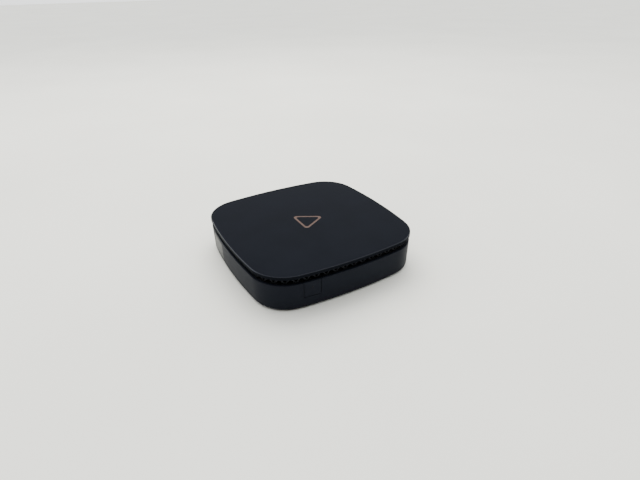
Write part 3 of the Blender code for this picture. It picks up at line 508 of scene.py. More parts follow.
def turned_bar(name, radius, start, end, material, steps=32, edge=0.0):
    """A round bar between two points, with a small rounded edge at both ends."""
    start, end = Vector(start), Vector(end)
    length = (end - start).length
    bm = bmesh.new()
    bmesh.ops.create_cone(
        bm, cap_ends=True, segments=steps, radius1=radius, radius2=radius, depth=length
    )
    if edge:
        rims = [e for e in bm.edges if abs(e.verts[0].co.z - e.verts[1].co.z) < length / 4]
        bmesh.ops.bevel(bm, geom=rims, offset=edge, segments=2, profile=0.5, affect="EDGES")
    turn = (end - start).to_track_quat("Z", "Y").to_matrix().to_4x4()
    bm.transform(Matrix.Translation((start + end) / 2) @ turn)
    return finish_mesh(name, bm, material)


light_bore = turned_bar(
    "light_bore",
    pipe_radius + pipe_fit,
    (pipe_middle.x, pipe_low.y - 0.004, pipe_middle.z),
    (pipe_middle.x, pipe_high.y + 0.004, pipe_middle.z),
    slate_abs,
)
key_cap = carve(key_shell, light_bore)
fitted("slate_abs", key_cap, flange, rib, for_nodes=["power_key"], body="power_key")

# Smoked acrylic with a frosted end: nearly black while it is unlit.
frosted_acrylic, tree, shader, place = new_material(
    "smoked_acrylic", "0d0e11", 0.4, IOR=1.49, Specular_IOR_Level=0.15
)
frost = grain(tree, place, 0.0002)
tint(tree, shader, frost, "0b0c0e", "121417")
vary_roughness(tree, shader, frost, 0.34, 0.5)
light_end = turned_bar(
    "light_pipe_end",
    pipe_radius,
    (pipe_middle.x, pipe_low.y, pipe_middle.z),
    (pipe_middle.x, pipe_high.y, pipe_middle.z),
    frosted_acrylic,
    edge=0.0001,
)
fitted("light_pipe", light_end, for_nodes=["status_light"], body="power_key")

# --- Side label -------------------------------------------------------------------------------
# A blank self-adhesive film lies in a shallow pocket of the left wall. It is dark grey
# polyester with a faint paler mottle of ink, and carries no words.
label_film, tree, shader, place = new_material(
    "grey_polyester_film", "2b2c2e", 0.42, Specular_IOR_Level=0.25
)
blots = grain(tree, place, 0.0022, 5.0)
tint(tree, shader, blots, "232427", "46484a", 0.42, 0.72)
vary_roughness(tree, shader, grain(tree, place, 0.0008), 0.36, 0.5)
label_block = finish_mesh(
    "label_block",
    block(
        (-half_width - wall_depth, label_low.y, label_low.z),
        (-half_width + wall_depth, label_high.y, label_high.z),
    ),
    label_film,
)
film_depth = 0.0001
film_core = loft(
    "film_core", [(foot_inset + label_depth, 0.0), (rim_inset + label_depth, rim_z)], label_film
)
film_face = loft(
    "film_face", [(foot_inset + film_depth, 0.0), (rim_inset + film_depth, rim_z)], label_film
)
film = carve(film_face, label_block, operation="INTERSECT")
film = carve(film, film_core)
film.name = "blank_label_film"
fitted("label_film", film, for_nodes=["side_label"])

# --- Foot ring and bottom cover ---------------------------------------------------------------
# A ring of moulded rubber is pressed into the groove underneath. The bottom cover is a thin
# black plate with long air slots, held by four flat screws.
foot_rubber, tree, shader, place = new_material("moulded_rubber", "161616", 0.85)
crumb = grain(tree, place, 0.0004)
tint(tree, shader, crumb, "121212", "1c1c1c")
emboss(tree, shader, crumb, 0.00005)
foot_low, foot_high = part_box("foot_ring")
foot_outer = 0.0080
foot_inner = 0.0180
foot_edge = 0.0004
foot_profile = [(foot_inner, foot_high.z)]
foot_profile += rounding(foot_inner - foot_edge, foot_low.z + foot_edge, foot_edge, 0, -90, 3)
foot_profile += rounding(foot_outer + foot_edge, foot_low.z + foot_edge, foot_edge, 270, 180, 3)
foot_profile += [(foot_outer, foot_high.z)]
foot = loft("rubber_foot_ring", foot_profile, foot_rubber, closed=True)
fitted("foot_rubber", foot, for_nodes=["foot_ring"])

cover_low, cover_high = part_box("bottom_cover")
cover_inset = recess_inset + gap
cover_edge = 0.0002
cover_profile = rounding(cover_inset + cover_edge, cover_low.z + cover_edge, cover_edge, 270, 180, 2)
cover_profile += [(cover_inset, cover_high.z)]
cover = loft("base_cover", cover_profile, black_abs)
slot_count = 11
slot_width = 0.0022
slot_pitch = 0.0046
slot_length = 0.0360
slot_middle = Vector((0.0180, -0.0075, 0))
slot_reach = Vector((slot_width / 2, slot_length / 2, 0.003))
slot_cutters = []
for i in range(slot_count):
    middle = slot_middle + Vector(((i - (slot_count - 1) / 2) * slot_pitch, 0, base_z))
    bar = rounded_bar(middle - slot_reach, middle + slot_reach, slot_width * 0.499, along="Z")
    slot_cutters.append(finish_mesh("slot", bar, black_abs))
cover = carve(cover, *slot_cutters)
fitted("black_abs", cover, for_nodes=["bottom_cover"])

# --- Screws -----------------------------------------------------------------------------------
# Zinc-plated steel machine screws: a turned head with a hexagon socket, and a plain round
# shank. One tree makes the screw and sets it on its points.
zinc_steel, tree, shader, place = new_material("zinc_plated_steel", "9b9da0", 0.34, 1.0)
plating = grain(tree, place, 0.0006)
tint(tree, shader, plating, "85888c", "a9abad")
vary_roughness(tree, shader, plating, 0.26, 0.42)


def new_tree(name, sizes):
    """A geometry tree with a geometry input and named sizes, and its group nodes."""
    tree = bpy.data.node_groups.new(name, "GeometryNodeTree")
    tree.interface.new_socket("Geometry", in_out="INPUT", socket_type="NodeSocketGeometry")
    kinds = {int: "NodeSocketInt", float: "NodeSocketFloat", bpy.types.Material: "NodeSocketMaterial"}
    for size, value in sizes.items():
        tree.interface.new_socket(size, in_out="INPUT", socket_type=kinds[type(value)])
    tree.interface.new_socket("Geometry", in_out="OUTPUT", socket_type="NodeSocketGeometry")
    start = tree.nodes.new("NodeGroupInput").outputs
    return tree, start


def end_tree(tree, geometry, material):
    """Ends a tree in real geometry with its material."""
    real = add_node(tree, "GeometryNodeRealizeInstances", {"Geometry": geometry})
    painted = add_node(
        tree, "GeometryNodeSetMaterial", {"Geometry": real.outputs[0], "Material": material}
    )
    add_node(tree, "NodeGroupOutput", {"Geometry": painted.outputs[0]})


def grown(name, tree, sizes, points, edges=(), faces=(), crease=30):
    """What a tree makes on a set of points, edges or faces, as a plain mesh object."""
    mesh = bpy.data.meshes.new(name)
    mesh.from_pydata([tuple(p) for p in points], list(edges), list(faces))
    seedling = bpy.data.objects.new(name, mesh)
    bpy.context.scene.collection.objects.link(seedling)
    growth = seedling.modifiers.new("growth", "NODES")
    growth.node_group = tree
    for item in tree.interface.items_tree:
        if item.in_out == "INPUT" and item.name in sizes:
            growth[item.identifier] = sizes[item.name]
    made = settled(seedling)
    made.data.shade_smooth()
    made.data.set_sharp_from_angle(angle=math.radians(crease))
    return made


screw_sizes = {
    "Head Radius": 0.0018,
    "Head Height": 0.0012,
    "Shank Radius": 0.00085,
    "Shank Length": 0.0060,
    "Socket Radius": 0.0009,
}
screw_tree, sizes = new_tree("machine_screw", screw_sizes)
head = add_node(
    screw_tree,
    "GeometryNodeMeshCylinder",
    {"Vertices": 28, "Radius": sizes["Head Radius"], "Depth": sizes["Head Height"]},
)
half_head = maths(screw_tree, "MULTIPLY", sizes["Head Height"], 0.5)
head_shift = add_node(screw_tree, "ShaderNodeCombineXYZ", {"Z": half_head})
head_placed = add_node(
    screw_tree,
    "GeometryNodeTransform",
    {"Geometry": head.outputs["Mesh"], "Translation": head_shift.outputs[0]},
)
recess = add_node(
    screw_tree,
    "GeometryNodeMeshCylinder",
    {"Vertices": 6, "Radius": sizes["Socket Radius"], "Depth": sizes["Head Height"]},
)
recess_shift = add_node(screw_tree, "ShaderNodeCombineXYZ", {"Z": sizes["Head Height"]})
recess_placed = add_node(
    screw_tree,
    "GeometryNodeTransform",
    {"Geometry": recess.outputs["Mesh"], "Translation": recess_shift.outputs[0]},
)
socketed = add_node(
    screw_tree,
    "GeometryNodeMeshBoolean",
    {"Mesh 1": head_placed.outputs[0], "Mesh 2": recess_placed.outputs[0]},
    operation="DIFFERENCE",
)
shank = add_node(
    screw_tree,
    "GeometryNodeMeshCylinder",
    {"Vertices": 16, "Radius": sizes["Shank Radius"], "Depth": sizes["Shank Length"]},
)
half_shank = maths(screw_tree, "MULTIPLY", sizes["Shank Length"], -0.5)
shank_shift = add_node(screw_tree, "ShaderNodeCombineXYZ", {"Z": half_shank})
shank_placed = add_node(
    screw_tree,
    "GeometryNodeTransform",
    {"Geometry": shank.outputs["Mesh"], "Translation": shank_shift.outputs[0]},
)
whole = add_node(screw_tree, "GeometryNodeJoinGeometry")
screw_tree.links.new(socketed.outputs[0], whole.inputs[0])
screw_tree.links.new(shank_placed.outputs[0], whole.inputs[0])
screws = add_node(
    screw_tree,
    "GeometryNodeInstanceOnPoints",
    {"Points": sizes["Geometry"], "Instance": whole.outputs[0]},
)
end_tree(screw_tree, screws.outputs[0], zinc_steel)


def screw_row(name, nodes, head_height, upside_down=False):
    """Replaces a row of plain CAD screws with finished ones of the same size and place."""
    boxes = [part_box(node) for node in nodes]
    low, high = boxes[0]
    sizes = dict(screw_sizes)
    sizes["Head Height"] = head_height
    sizes["Shank Length"] = high.z - low.z - head_height
    seat = low.z + head_height if upside_down else high.z - head_height
    points = [((a.x + b.x) / 2, (a.y + b.y) / 2, 0) for a, b in boxes]
    row = grown(name, screw_tree, sizes, points)
    turn = Matrix.Translation((0, 0, seat))
    if upside_down:
        turn @= Matrix.Diagonal((1, 1, -1, 1))
    row.data.transform(turn)
    if upside_down:
        row.data.flip_normals()
    fitted("steel", row, for_nodes=nodes)


screw_row("base_screws", [f"base_screw_{i}" for i in (1, 2, 3, 4)], 0.0005, upside_down=True)
screw_row("frame_screws", [f"frame_screw_{i}" for i in (1, 2, 3, 4)], 0.0012)
screw_row("lid_screws", [f"lid_screw_{i}" for i in (1, 2, 3, 4)], 0.0012, upside_down=True)
screw_row("board_screws", [f"board_screw_{i}" for i in (1, 2, 3, 4)], 0.0012)
screw_row("fan_screws", [f"fan_screw_{i}" for i in (1, 2, 3)], 0.0012)

# --- Vent ring --------------------------------------------------------------------------------
# Air is drawn in all round under the lid, through a black lattice: slanted ribs lean left and
# right by turns between two rails. The ribs are set along the outline by one tree.
ring_low, ring_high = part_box("vent_ring")
ring_inset = half_width - ring_high.x
ring_wall = 0.0015
rail_height = 0.0007
lattice_sizes = {
    "Ribs": 124,
    "Rib Width": 0.0010,
    "Rib Depth": ring_wall * 0.9,
    "Rib Length": 0.0066,
    "Rib Lean": math.radians(42),
}
lattice_tree, sizes = new_tree("vent_lattice", lattice_sizes)
path = add_node(lattice_tree, "GeometryNodeMeshToCurve", {"Mesh": sizes["Geometry"]})
spaced = add_node(
    lattice_tree, "GeometryNodeResampleCurve", {"Curve": path.outputs[0], "Count": sizes["Ribs"]}
)
rib_size = add_node(
    lattice_tree,
    "ShaderNodeCombineXYZ",
    {"X": sizes["Rib Width"], "Y": sizes["Rib Depth"], "Z": sizes["Rib Length"]},
)
rib = add_node(lattice_tree, "GeometryNodeMeshCube", {"Size": rib_size.outputs[0]})
heading = add_node(lattice_tree, "GeometryNodeInputTangent")
along = add_node(
    lattice_tree,
    "FunctionNodeAlignRotationToVector",
    {"Vector": heading.outputs[0]},
    axis="X",
    pivot_axis="Z",
)
index = add_node(lattice_tree, "GeometryNodeInputIndex")
parity = maths(lattice_tree, "MODULO", index.outputs[0], 2.0)
side = maths(lattice_tree, "MULTIPLY_ADD", parity, 2.0, -1.0)
lean = maths(lattice_tree, "MULTIPLY", side, sizes["Rib Lean"])
lean_turn = add_node(lattice_tree, "ShaderNodeCombineXYZ", {"Y": lean})
leaning = add_node(
    lattice_tree,
    "FunctionNodeRotateRotation",
    {"Rotation": along.outputs[0], "Rotate By": lean_turn.outputs[0]},
    rotation_space="LOCAL",
)
ribs = add_node(
    lattice_tree,
    "GeometryNodeInstanceOnPoints",
    {"Points": spaced.outputs[0], "Instance": rib.outputs["Mesh"], "Rotation": leaning.outputs[0]},
)
end_tree(lattice_tree, ribs.outputs[0], black_abs)

lattice_low = rim_z + 0.0002
lattice_middle = (lattice_low + ring_high.z) / 2
ring_path = [(x, y, lattice_middle) for x, y in case_outline(ring_inset + ring_wall / 2)]
ring_loop = [(i, (i + 1) % len(ring_path)) for i in range(len(ring_path))]
lean_angle = lattice_sizes["Rib Lean"]
rib_rise = ring_high.z - lattice_low - lattice_sizes["Rib Width"] * math.sin(lean_angle)
lattice_sizes["Rib Length"] = rib_rise / math.cos(lean_angle)
lattice_ribs = grown("lattice_ribs", lattice_tree, lattice_sizes, ring_path, ring_loop)


def rail(name, low, high, edge=0.00015):
    """One rail of the vent ring: a square-section band with softened edges."""
    outer, inner = ring_inset, ring_inset + ring_wall
    profile = rounding(outer + edge, low + edge, edge, 270, 180, 2)
    profile += rounding(outer + edge, high - edge, edge, 180, 90, 2)
    profile += rounding(inner - edge, high - edge, edge, 90, 0, 2)
    profile += rounding(inner - edge, low + edge, edge, 0, -90, 2)
    return loft(name, profile, black_abs, closed=True)


lower_rail = rail("lattice_lower_rail", ring_low.z, rim_z + 0.0004)
key_travel = 0.0006
behind_key = wall_inset + key_travel + gap
key_sweep = loft(
    "key_sweep",
    [(0.0, 0.0), (0.0, rim_z + gap), (behind_key, rim_z + gap), (behind_key, 0.0)],
    black_abs,
    closed=True,
)
key_room = finish_mesh(
    "key_room",
    block(
        (key_low.x - gap, -half_width, ring_low.z - 0.001),
        (key_high.x + gap, -half_width + wall_depth, rim_z + 0.001),
    ),
    black_abs,
)
lower_rail = carve(lower_rail, carve(key_sweep, key_room, operation="INTERSECT"))
upper_rail = rail("lattice_upper_rail", ring_high.z - rail_height, ring_high.z)
fitted("black_abs", lattice_ribs, lower_rail, upper_rail, for_nodes=["vent_ring"])

# --- Lid and its mark -------------------------------------------------------------------------
# The lid is a flat ABS plate with a shallow edge. A fine chamfer, cut glossier than the matte
# top, runs all round it and catches the light. The mark is a plain copper-coloured inlay.
lid_low, lid_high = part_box("top_cover")
lid_edge_z = ring_high.z + gap
lid_skin = 0.0016
lid_rim = 0.0065
chamfer = 0.0005
soft = 0.00012
lid_profile = [(lid_rim, lid_high.z - lid_skin), (lid_rim, lid_edge_z)]
lid_profile += rounding(0.0006, lid_edge_z + 0.0006, 0.0006, 270, 180, 5)
lid_profile += rounding(soft, lid_high.z - chamfer - soft, soft, 180, 150, 2)
lid_profile += rounding(chamfer + soft, lid_high.z - soft, soft, 120, 90, 2)
lid_profile += [(0.004, lid_high.z), (0.014, lid_high.z)]
lid_abs = moulded_abs("slate_lid_moulded", "14161c", "101217", 0.42, gloss=0.004)
lid = loft("lid", lid_profile, lid_abs, crease=25)
cut_edge = moulded_abs("slate_lid_cut_edge", "101216", "0d0f12", 0.24, gloss=0.3)
lid.data.materials.append(cut_edge)
for face in lid.data.polygons:
    steep = 0.3 < face.normal.z < 0.95
    if steep and face.center.z > lid_high.z - 2 * chamfer:
        face.material_index = 1

mark_radius = 0.0180
mark_corner = 0.0030
mark_band = 0.0020
mark_depth = 0.0004
mark_fit = 0.00006
mark_sink = 0.00004


def triangle_loop(radius, corner, steps=12):
    """A triangle pointing along +X with round corners."""
    points = []
    for turn in range(3):
        facing = turn * math.tau / 3
        reach = radius - 2 * corner
        for i in range(steps + 1):
            angle = facing - math.pi / 3 + math.tau / 3 * i / steps
            x = reach * math.cos(facing) + corner * math.cos(angle)
            y = reach * math.sin(facing) + corner * math.sin(angle)
            points.append((x, y))
    return points


def mark_solid(name, grow, low, high, material):
    """The band between an outer and an inner triangle, as a closed solid."""
    outer = triangle_loop(mark_radius + 2 * grow, mark_corner + grow)
    inner = triangle_loop(mark_radius - 2 * mark_band - 2 * grow, mark_corner - mark_band / 2 - grow)
    bm = bmesh.new()
    layers = []
    for z in (low, high):
        layers.append([[bm.verts.new((x, y, z)) for x, y in loop] for loop in (outer, inner)])
    count = len(outer)
    for i in range(count):
        j = (i + 1) % count
        for loop in (0, 1):
            a, b = layers[0][loop], layers[1][loop]
            bm.faces.new((a[i], a[j], b[j], b[i]))
        for layer in layers:
            bm.faces.new((layer[0][i], layer[0][j], layer[1][j], layer[1][i]))
    return finish_mesh(name, bm, material)


lid = carve(
    lid,
    mark_solid("mark_bed", mark_fit, lid_high.z - mark_depth, lid_high.z + 0.001, lid_abs),
    crease=25,
)
fitted("slate_abs", lid, for_nodes=["top_cover"])

# Hot-stamped copper foil over a flat inlay: a dull brown film with faint rolling lines.
copper_foil, tree, shader, place = new_material(
    "copper_foil", "45322a", 0.5, 0.15, Specular_IOR_Level=0.08
)
stretch = add_node(tree, "ShaderNodeMapping", {"Vector": place, "Scale": (0.08, 1.0, 1.0)})
rolling = grain(tree, stretch.outputs[0], 0.00025)
tint(tree, shader, rolling, "3d2c25", "4c372e")
vary_roughness(tree, shader, rolling, 0.42, 0.58)
mark = mark_solid("copper_mark", 0.0, lid_high.z - mark_depth, lid_high.z - mark_sink, copper_foil)
fitted("copper_ink", mark, for_nodes=["cover_emblem"])

# --- Rear panel -------------------------------------------------------------------------------
# A black pressed plate closes the rear window. Each socket shows through a cut-out with small
# round corners, and a row of upright slots lets the fan's warm air out.


def bar_cutters(boxes, radius):
    """One cutting bar along Y for each pair of corners, run through the rear panel."""
    bars = []
    for low, high in boxes:
        low = Vector((low[0], panel_low.y - 0.001, low[2]))
        high = Vector((high[0], panel_high.y + 0.001, high[2]))
        bars.append(finish_mesh("cutter", rounded_bar(low, high, radius), black_abs))
    return bars


panel = finish_mesh("rear_plate", rounded_bar(panel_low, panel_high, 0.0012, steps=6), black_abs)
clear = Vector((gap, 0, gap))
cutouts = []
for node in ("power_jack", "audio_jack", "network_port", "video_port", "small_data_port"):
    low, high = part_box(node)
    cutouts.append((low - clear, high + clear))
cutouts.append((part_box("data_port_lower")[0] - clear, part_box("data_port_upper")[1] + clear))
fin_low, fin_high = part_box("fin_stack")
exhaust_slots = 8
exhaust_width = 0.0020
exhaust_margin = 0.0012
exhaust_pitch = (fin_high.x - fin_low.x - 2 * exhaust_margin) / exhaust_slots
exhausts = []
for i in range(exhaust_slots):
    x = fin_low.x + exhaust_margin + exhaust_pitch * (i + 0.5)
    exhausts.append(
        (
            (x - exhaust_width / 2, 0, fin_low.z + exhaust_margin),
            (x + exhaust_width / 2, 0, fin_high.z - exhaust_margin),
        )
    )
panel = carve(panel, *bar_cutters(cutouts, 0.0004), *bar_cutters(exhausts, exhaust_width * 0.49))
fitted("black_abs", panel, for_nodes=["rear_panel"])

# --- Sockets ----------------------------------------------------------------------------------
# Each flat socket is a nickel-plated shell round a black insulator, with gold contacts on its
# tongue. The network socket also has two light windows. The round ones are moulded blocks.
nickel_shell, tree, shader, place = new_material("nickel_plated_shell", "a6a8aa", 0.3, 1.0)
drawn = add_node(tree, "ShaderNodeMapping", {"Vector": place, "Scale": (1.0, 0.05, 1.0)})
streaks = grain(tree, drawn.outputs[0], 0.0002)
tint(tree, shader, streaks, "919396", "b6b8ba")
vary_roughness(tree, shader, streaks, 0.22, 0.4)

insulator, tree, shader, place = new_material("glass_filled_polymer", "0e0e10", 0.55)
fibres = grain(tree, place, 0.00015)
tint(tree, shader, fibres, "0a0a0b", "161618")
emboss(tree, shader, fibres, 0.00001)

blue_insulator, tree, shader, place = new_material("blue_polymer", "1b3d78", 0.5)
fibres = grain(tree, place, 0.00015)
tint(tree, shader, fibres, "17356a", "204685")

gold_contact, tree, shader, place = new_material("gold_plated_contact", "c9a04c", 0.25, 1.0)
wipe = grain(tree, place, 0.0001)
tint(tree, shader, wipe, "b98f3e", "d6ae5c")
vary_roughness(tree, shader, wipe, 0.18, 0.34)

light_window, tree, shader, place = new_material(
    "milky_light_window", "8a8f86", 0.4, Transmission_Weight=0.3
)
tint(tree, shader, grain(tree, place, 0.0003), "7d8279", "979c93")

bar_sizes = {
    "Count": 4,
    "Pitch": 0.001,
    "Width": 0.0005,
    "Depth": 0.006,
    "Height": 0.0002,
    "Finish": gold_contact,
}
bar_tree, sizes = new_tree("bar_row", bar_sizes)
bar_size = add_node(
    bar_tree, "ShaderNodeCombineXYZ", {"X": sizes["Width"], "Y": sizes["Depth"], "Z": sizes["Height"]}
)
one_bar = add_node(bar_tree, "GeometryNodeMeshCube", {"Size": bar_size.outputs[0]})
steps_in_row = maths(bar_tree, "SUBTRACT", sizes["Count"], 1.0)
half_row = maths(bar_tree, "MULTIPLY", steps_in_row, -0.5)
row_start = maths(bar_tree, "MULTIPLY", half_row, sizes["Pitch"])
row_from = add_node(bar_tree, "ShaderNodeCombineXYZ", {"X": row_start})
row_step = add_node(bar_tree, "ShaderNodeCombineXYZ", {"X": sizes["Pitch"]})
row_line = add_node(
    bar_tree,
    "GeometryNodeMeshLine",
    {"Count": sizes["Count"], "Start Location": row_from.outputs[0], "Offset": row_step.outputs[0]},
)
one_row = add_node(
    bar_tree,
    "GeometryNodeInstanceOnPoints",
    {"Points": row_line.outputs[0], "Instance": one_bar.outputs["Mesh"]},
)
rows = add_node(
    bar_tree,
    "GeometryNodeInstanceOnPoints",
    {"Points": sizes["Geometry"], "Instance": one_row.outputs[0]},
)
end_tree(bar_tree, rows.outputs[0], sizes["Finish"])


def bar_row(name, points, count, pitch, width, depth, height, finish=None):
    """Equal rectangular bars in a row along X, centred on each point."""
    chosen = {
        "Count": count,
        "Pitch": pitch,
        "Width": width,
        "Depth": depth,
        "Height": height,
        "Finish": finish or gold_contact,
    }
    return grown(name, bar_tree, chosen, points)


def shell(node, wall, radius, depth):
    """A drawn shell: a bar with round corners and a deep mouth open to the rear."""
    low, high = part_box(node)
    body = finish_mesh(node + "_shell", rounded_bar(low, high, radius), nickel_shell)
    mouth_low = Vector((low.x + wall, high.y - depth, low.z + wall))
    mouth_high = Vector((high.x - wall, high.y + 0.001, high.z - wall))
    mouth = finish_mesh(
        "mouth", rounded_bar(mouth_low, mouth_high, max(radius - wall, 0.0001)), nickel_shell
    )
    made = carve(body, mouth)
    fitted("port_shell", made, for_nodes=[node])
    return low, high


def tongue(node, width, lift, thick, setback, count, pitch, contact, material):
    """The insulator in a socket's mouth, with its gold contacts along the underside."""
    low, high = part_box(node)
    x = (low.x + high.x) / 2
    top = low.z + lift + thick
    blade = finish_mesh(
        node + "_tongue",
        block(
            (x - width / 2, low.y + 0.0004, top - thick),
            (x + width / 2, high.y - setback, top),
            soften=thick / 8,
        ),
        material,
    )
    length = 0.0050
    point = (x, high.y - setback - 0.0004 - length / 2, top - thick - 0.00004)
    contacts = bar_row(node + "_contacts", [point], count, pitch, contact, length, 0.0001)
    fitted("chip_resin", blade)
    fitted("port_shell", contacts)


low, high = shell("network_port", 0.0004, 0.0003, 0.0140)
middle_x = (low.x + high.x) / 2
insert_wall = 0.00042
insert = finish_mesh(
    "network_port_insert",
    block(
        (low.x + insert_wall, high.y - 0.0130, low.z + insert_wall),
        (high.x - insert_wall, high.y - 0.0004, high.z - insert_wall),
        soften=0.0001,
    ),
    insulator,
)
plug_way = [(0.0059, 0.0022, 0.0089), (0.0031, 0.0087, 0.0101), (0.0018, 0.0099, 0.0109)]
plug_cutters = []
for half, foot, head in plug_way:
    bar = rounded_bar(
        (middle_x - half, high.y - 0.0118, low.z + foot),
        (middle_x + half, high.y + 0.001, low.z + head),
        0.0001,
        steps=2,
    )
    plug_cutters.append(finish_mesh("plug_way", bar, insulator))
insert = carve(insert, *plug_cutters)
windows = [
    finish_mesh(
        f"network_light_window_{i + 1}",
        block(
            (middle_x + side * 0.0048 - 0.0014, high.y - 0.0030, low.z + 0.0006),
            (middle_x + side * 0.0048 + 0.0014, high.y - 0.0003, low.z + 0.0017),
            soften=0.0001,
        ),
        light_window,
    )
    for i, side in enumerate((-1, 1))
]
pins = bar_row(
    "network_contacts",
    [(middle_x, high.y - 0.0072, low.z + 0.0026)],
    8,
    0.00102,
    0.0005,
    0.0088,
    0.0003,
)
fitted("chip_resin", insert)
fitted("light_pipe", *windows)
fitted("port_shell", pins)

shell("video_port", 0.00045, 0.0012, 0.0100)
tongue("video_port", 0.0112, 0.0024, 0.0013, 0.0016, 10, 0.0010, 0.0005, insulator)
shell("data_port_lower", 0.0004, 0.0005, 0.0120)
tongue("data_port_lower", 0.0114, 0.0030, 0.0018, 0.0012, 4, 0.0025, 0.0011, blue_insulator)
shell("data_port_upper", 0.0004, 0.0005, 0.0120)
tongue("data_port_upper", 0.0114, 0.0030, 0.0018, 0.0012, 4, 0.0025, 0.0011, blue_insulator)
shell("small_data_port", 0.00035, 0.0016, 0.0080)
tongue("small_data_port", 0.0062, 0.00135, 0.0007, 0.0008, 12, 0.0005, 0.00025, insulator)


def round_socket(node, bore, collar, depth, pin=0.0):
    """A moulded block with a round bore, a metal collar, and a pin if it has one."""
    low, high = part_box(node)
    middle = (low + high) / 2
    face = Vector((middle.x, high.y, middle.z))
    deep = face - Vector((0, depth, 0))
    out = face + Vector((0, 0.001, 0))
    body = finish_mesh(node + "_body", block(low, high, soften=0.0002), insulator)
    body = carve(
        body,
        turned_bar("bore", bore, deep, out, insulator),
        turned_bar("collar_bed", collar, face - Vector((0, 0.0006, 0)), out, insulator),
    )
    ring = turned_bar(
        node + "_collar", collar, face - Vector((0, 0.0006, 0)), face, nickel_shell, edge=0.0001
    )
    ring = carve(ring, turned_bar("bore", bore, deep, out, nickel_shell))
    fitted("chip_resin", body, for_nodes=[node])
    fitted("steel", ring)
    if pin:
        low_end, high_end = deep - Vector((0, 0.0005, 0)), face - Vector((0, 0.0010, 0))
        post = turned_bar(node + "_pin", pin, low_end, high_end, gold_contact, edge=pin / 3)
        fitted("port_shell", post)


round_socket("audio_jack", 0.0018, 0.0026, 0.0090)
round_socket("power_jack", 0.0029, 0.0037, 0.0090, pin=0.0010)

# --- Blower rotor -----------------------------------------------------------------------------
# The rotor is one black moulding: a thin disc, a domed hub, and curved blades leaning back from
# the turn. One tree bends a blade, stands it on the disc and turns it round the shaft.
rotor_low, rotor_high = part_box("fan_rotor")
rotor_axis = (rotor_low + rotor_high) / 2
rotor_radius = (rotor_high.x - rotor_low.x) / 2
disc_thickness = 0.0008
hub_radius = 0.0080
hub_wall = 0.0012
hub_roof = 0.0015
blade_sizes = {
    "Blades": 20,
    "Root Radius": 0.0110,
    "Tip Radius": rotor_radius - 0.0006,
    "Lean": math.radians(32),
    "Bow": 0.0012,
    "Thickness": 0.0008,
    "Height": rotor_high.z - rotor_low.z - disc_thickness / 2,
}
blade_tree, sizes = new_tree("blower_blades", blade_sizes)
tip_x = maths(blade_tree, "COSINE", sizes["Lean"])
tip_y = maths(blade_tree, "SINE", sizes["Lean"])
tip_offset = add_node(blade_tree, "ShaderNodeCombineXYZ", {"X": tip_x, "Y": tip_y})
blade_reach = maths(blade_tree, "SUBTRACT", sizes["Tip Radius"], sizes["Root Radius"])
tip_shift = add_node(
    blade_tree,
    "ShaderNodeVectorMath",
    {0: tip_offset.outputs[0], "Scale": blade_reach},
    operation="SCALE",
)
blade_foot = add_node(blade_tree, "ShaderNodeCombineXYZ", {"X": sizes["Root Radius"]})
blade_tip = add_node(
    blade_tree,
    "ShaderNodeVectorMath",
    {0: blade_foot.outputs[0], 1: tip_shift.outputs[0]},
    operation="ADD",
)
middle_of_blade = add_node(
    blade_tree,
    "ShaderNodeVectorMath",
    {0: blade_foot.outputs[0], 1: blade_tip.outputs[0]},
    operation="ADD",
)
half_way = add_node(
    blade_tree, "ShaderNodeVectorMath", {0: middle_of_blade.outputs[0], "Scale": 0.5}, operation="SCALE"
)
bow_shift = add_node(blade_tree, "ShaderNodeCombineXYZ", {"Y": sizes["Bow"]})
bowed = add_node(
    blade_tree,
    "ShaderNodeVectorMath",
    {0: half_way.outputs[0], 1: bow_shift.outputs[0]},
    operation="SUBTRACT",
)
blade_curve = add_node(
    blade_tree,
    "GeometryNodeCurveQuadraticBezier",
    {
        "Resolution": 8,
        "Start": blade_foot.outputs[0],
        "Middle": bowed.outputs[0],
        "End": blade_tip.outputs[0],
    },
)
blade_section = add_node(
    blade_tree,
    "GeometryNodeCurvePrimitiveQuadrilateral",
    {"Width": sizes["Thickness"], "Height": sizes["Height"]},
)
blade = add_node(
    blade_tree,
    "GeometryNodeCurveToMesh",
    {"Curve": blade_curve.outputs[0], "Profile Curve": blade_section.outputs[0], "Fill Caps": True},
)
one_spot = {"Count": sizes["Blades"], "Offset": (0, 0, 0)}
round_shaft = add_node(blade_tree, "GeometryNodeMeshLine", one_spot)
blade_index = add_node(blade_tree, "GeometryNodeInputIndex")
blade_step = maths(blade_tree, "DIVIDE", math.tau, sizes["Blades"])
blade_turn = maths(blade_tree, "MULTIPLY", blade_index.outputs[0], blade_step)
blade_facing = add_node(blade_tree, "ShaderNodeCombineXYZ", {"Z": blade_turn})
blade_ring = add_node(
    blade_tree,
    "GeometryNodeInstanceOnPoints",
    {
        "Points": round_shaft.outputs[0],
        "Instance": blade.outputs[0],
        "Rotation": blade_facing.outputs[0],
    },
)
end_tree(blade_tree, blade_ring.outputs[0], black_abs)
blades = grown("blower_blades", blade_tree, blade_sizes, [(0, 0, 0)])
blades_z = rotor_low.z + disc_thickness / 2 + blade_sizes["Height"] / 2
blades.data.transform(Matrix.Translation((rotor_axis.x, rotor_axis.y, blades_z)))
rotor_foot = Vector((rotor_axis.x, rotor_axis.y, rotor_low.z))
rotor_disc = turned_bar(
    "blower_disc", rotor_radius, rotor_foot, rotor_foot + Vector((0, 0, disc_thickness)), black_abs, 64
)
hub_top = Vector((rotor_axis.x, rotor_axis.y, rotor_high.z - 0.0002))
hub_cup = turned_bar("blower_hub", hub_radius, rotor_foot, hub_top, black_abs, 64, edge=0.0008)
cup_top = hub_top - Vector((0, 0, hub_roof))
under = rotor_foot - Vector((0, 0, 0.001))
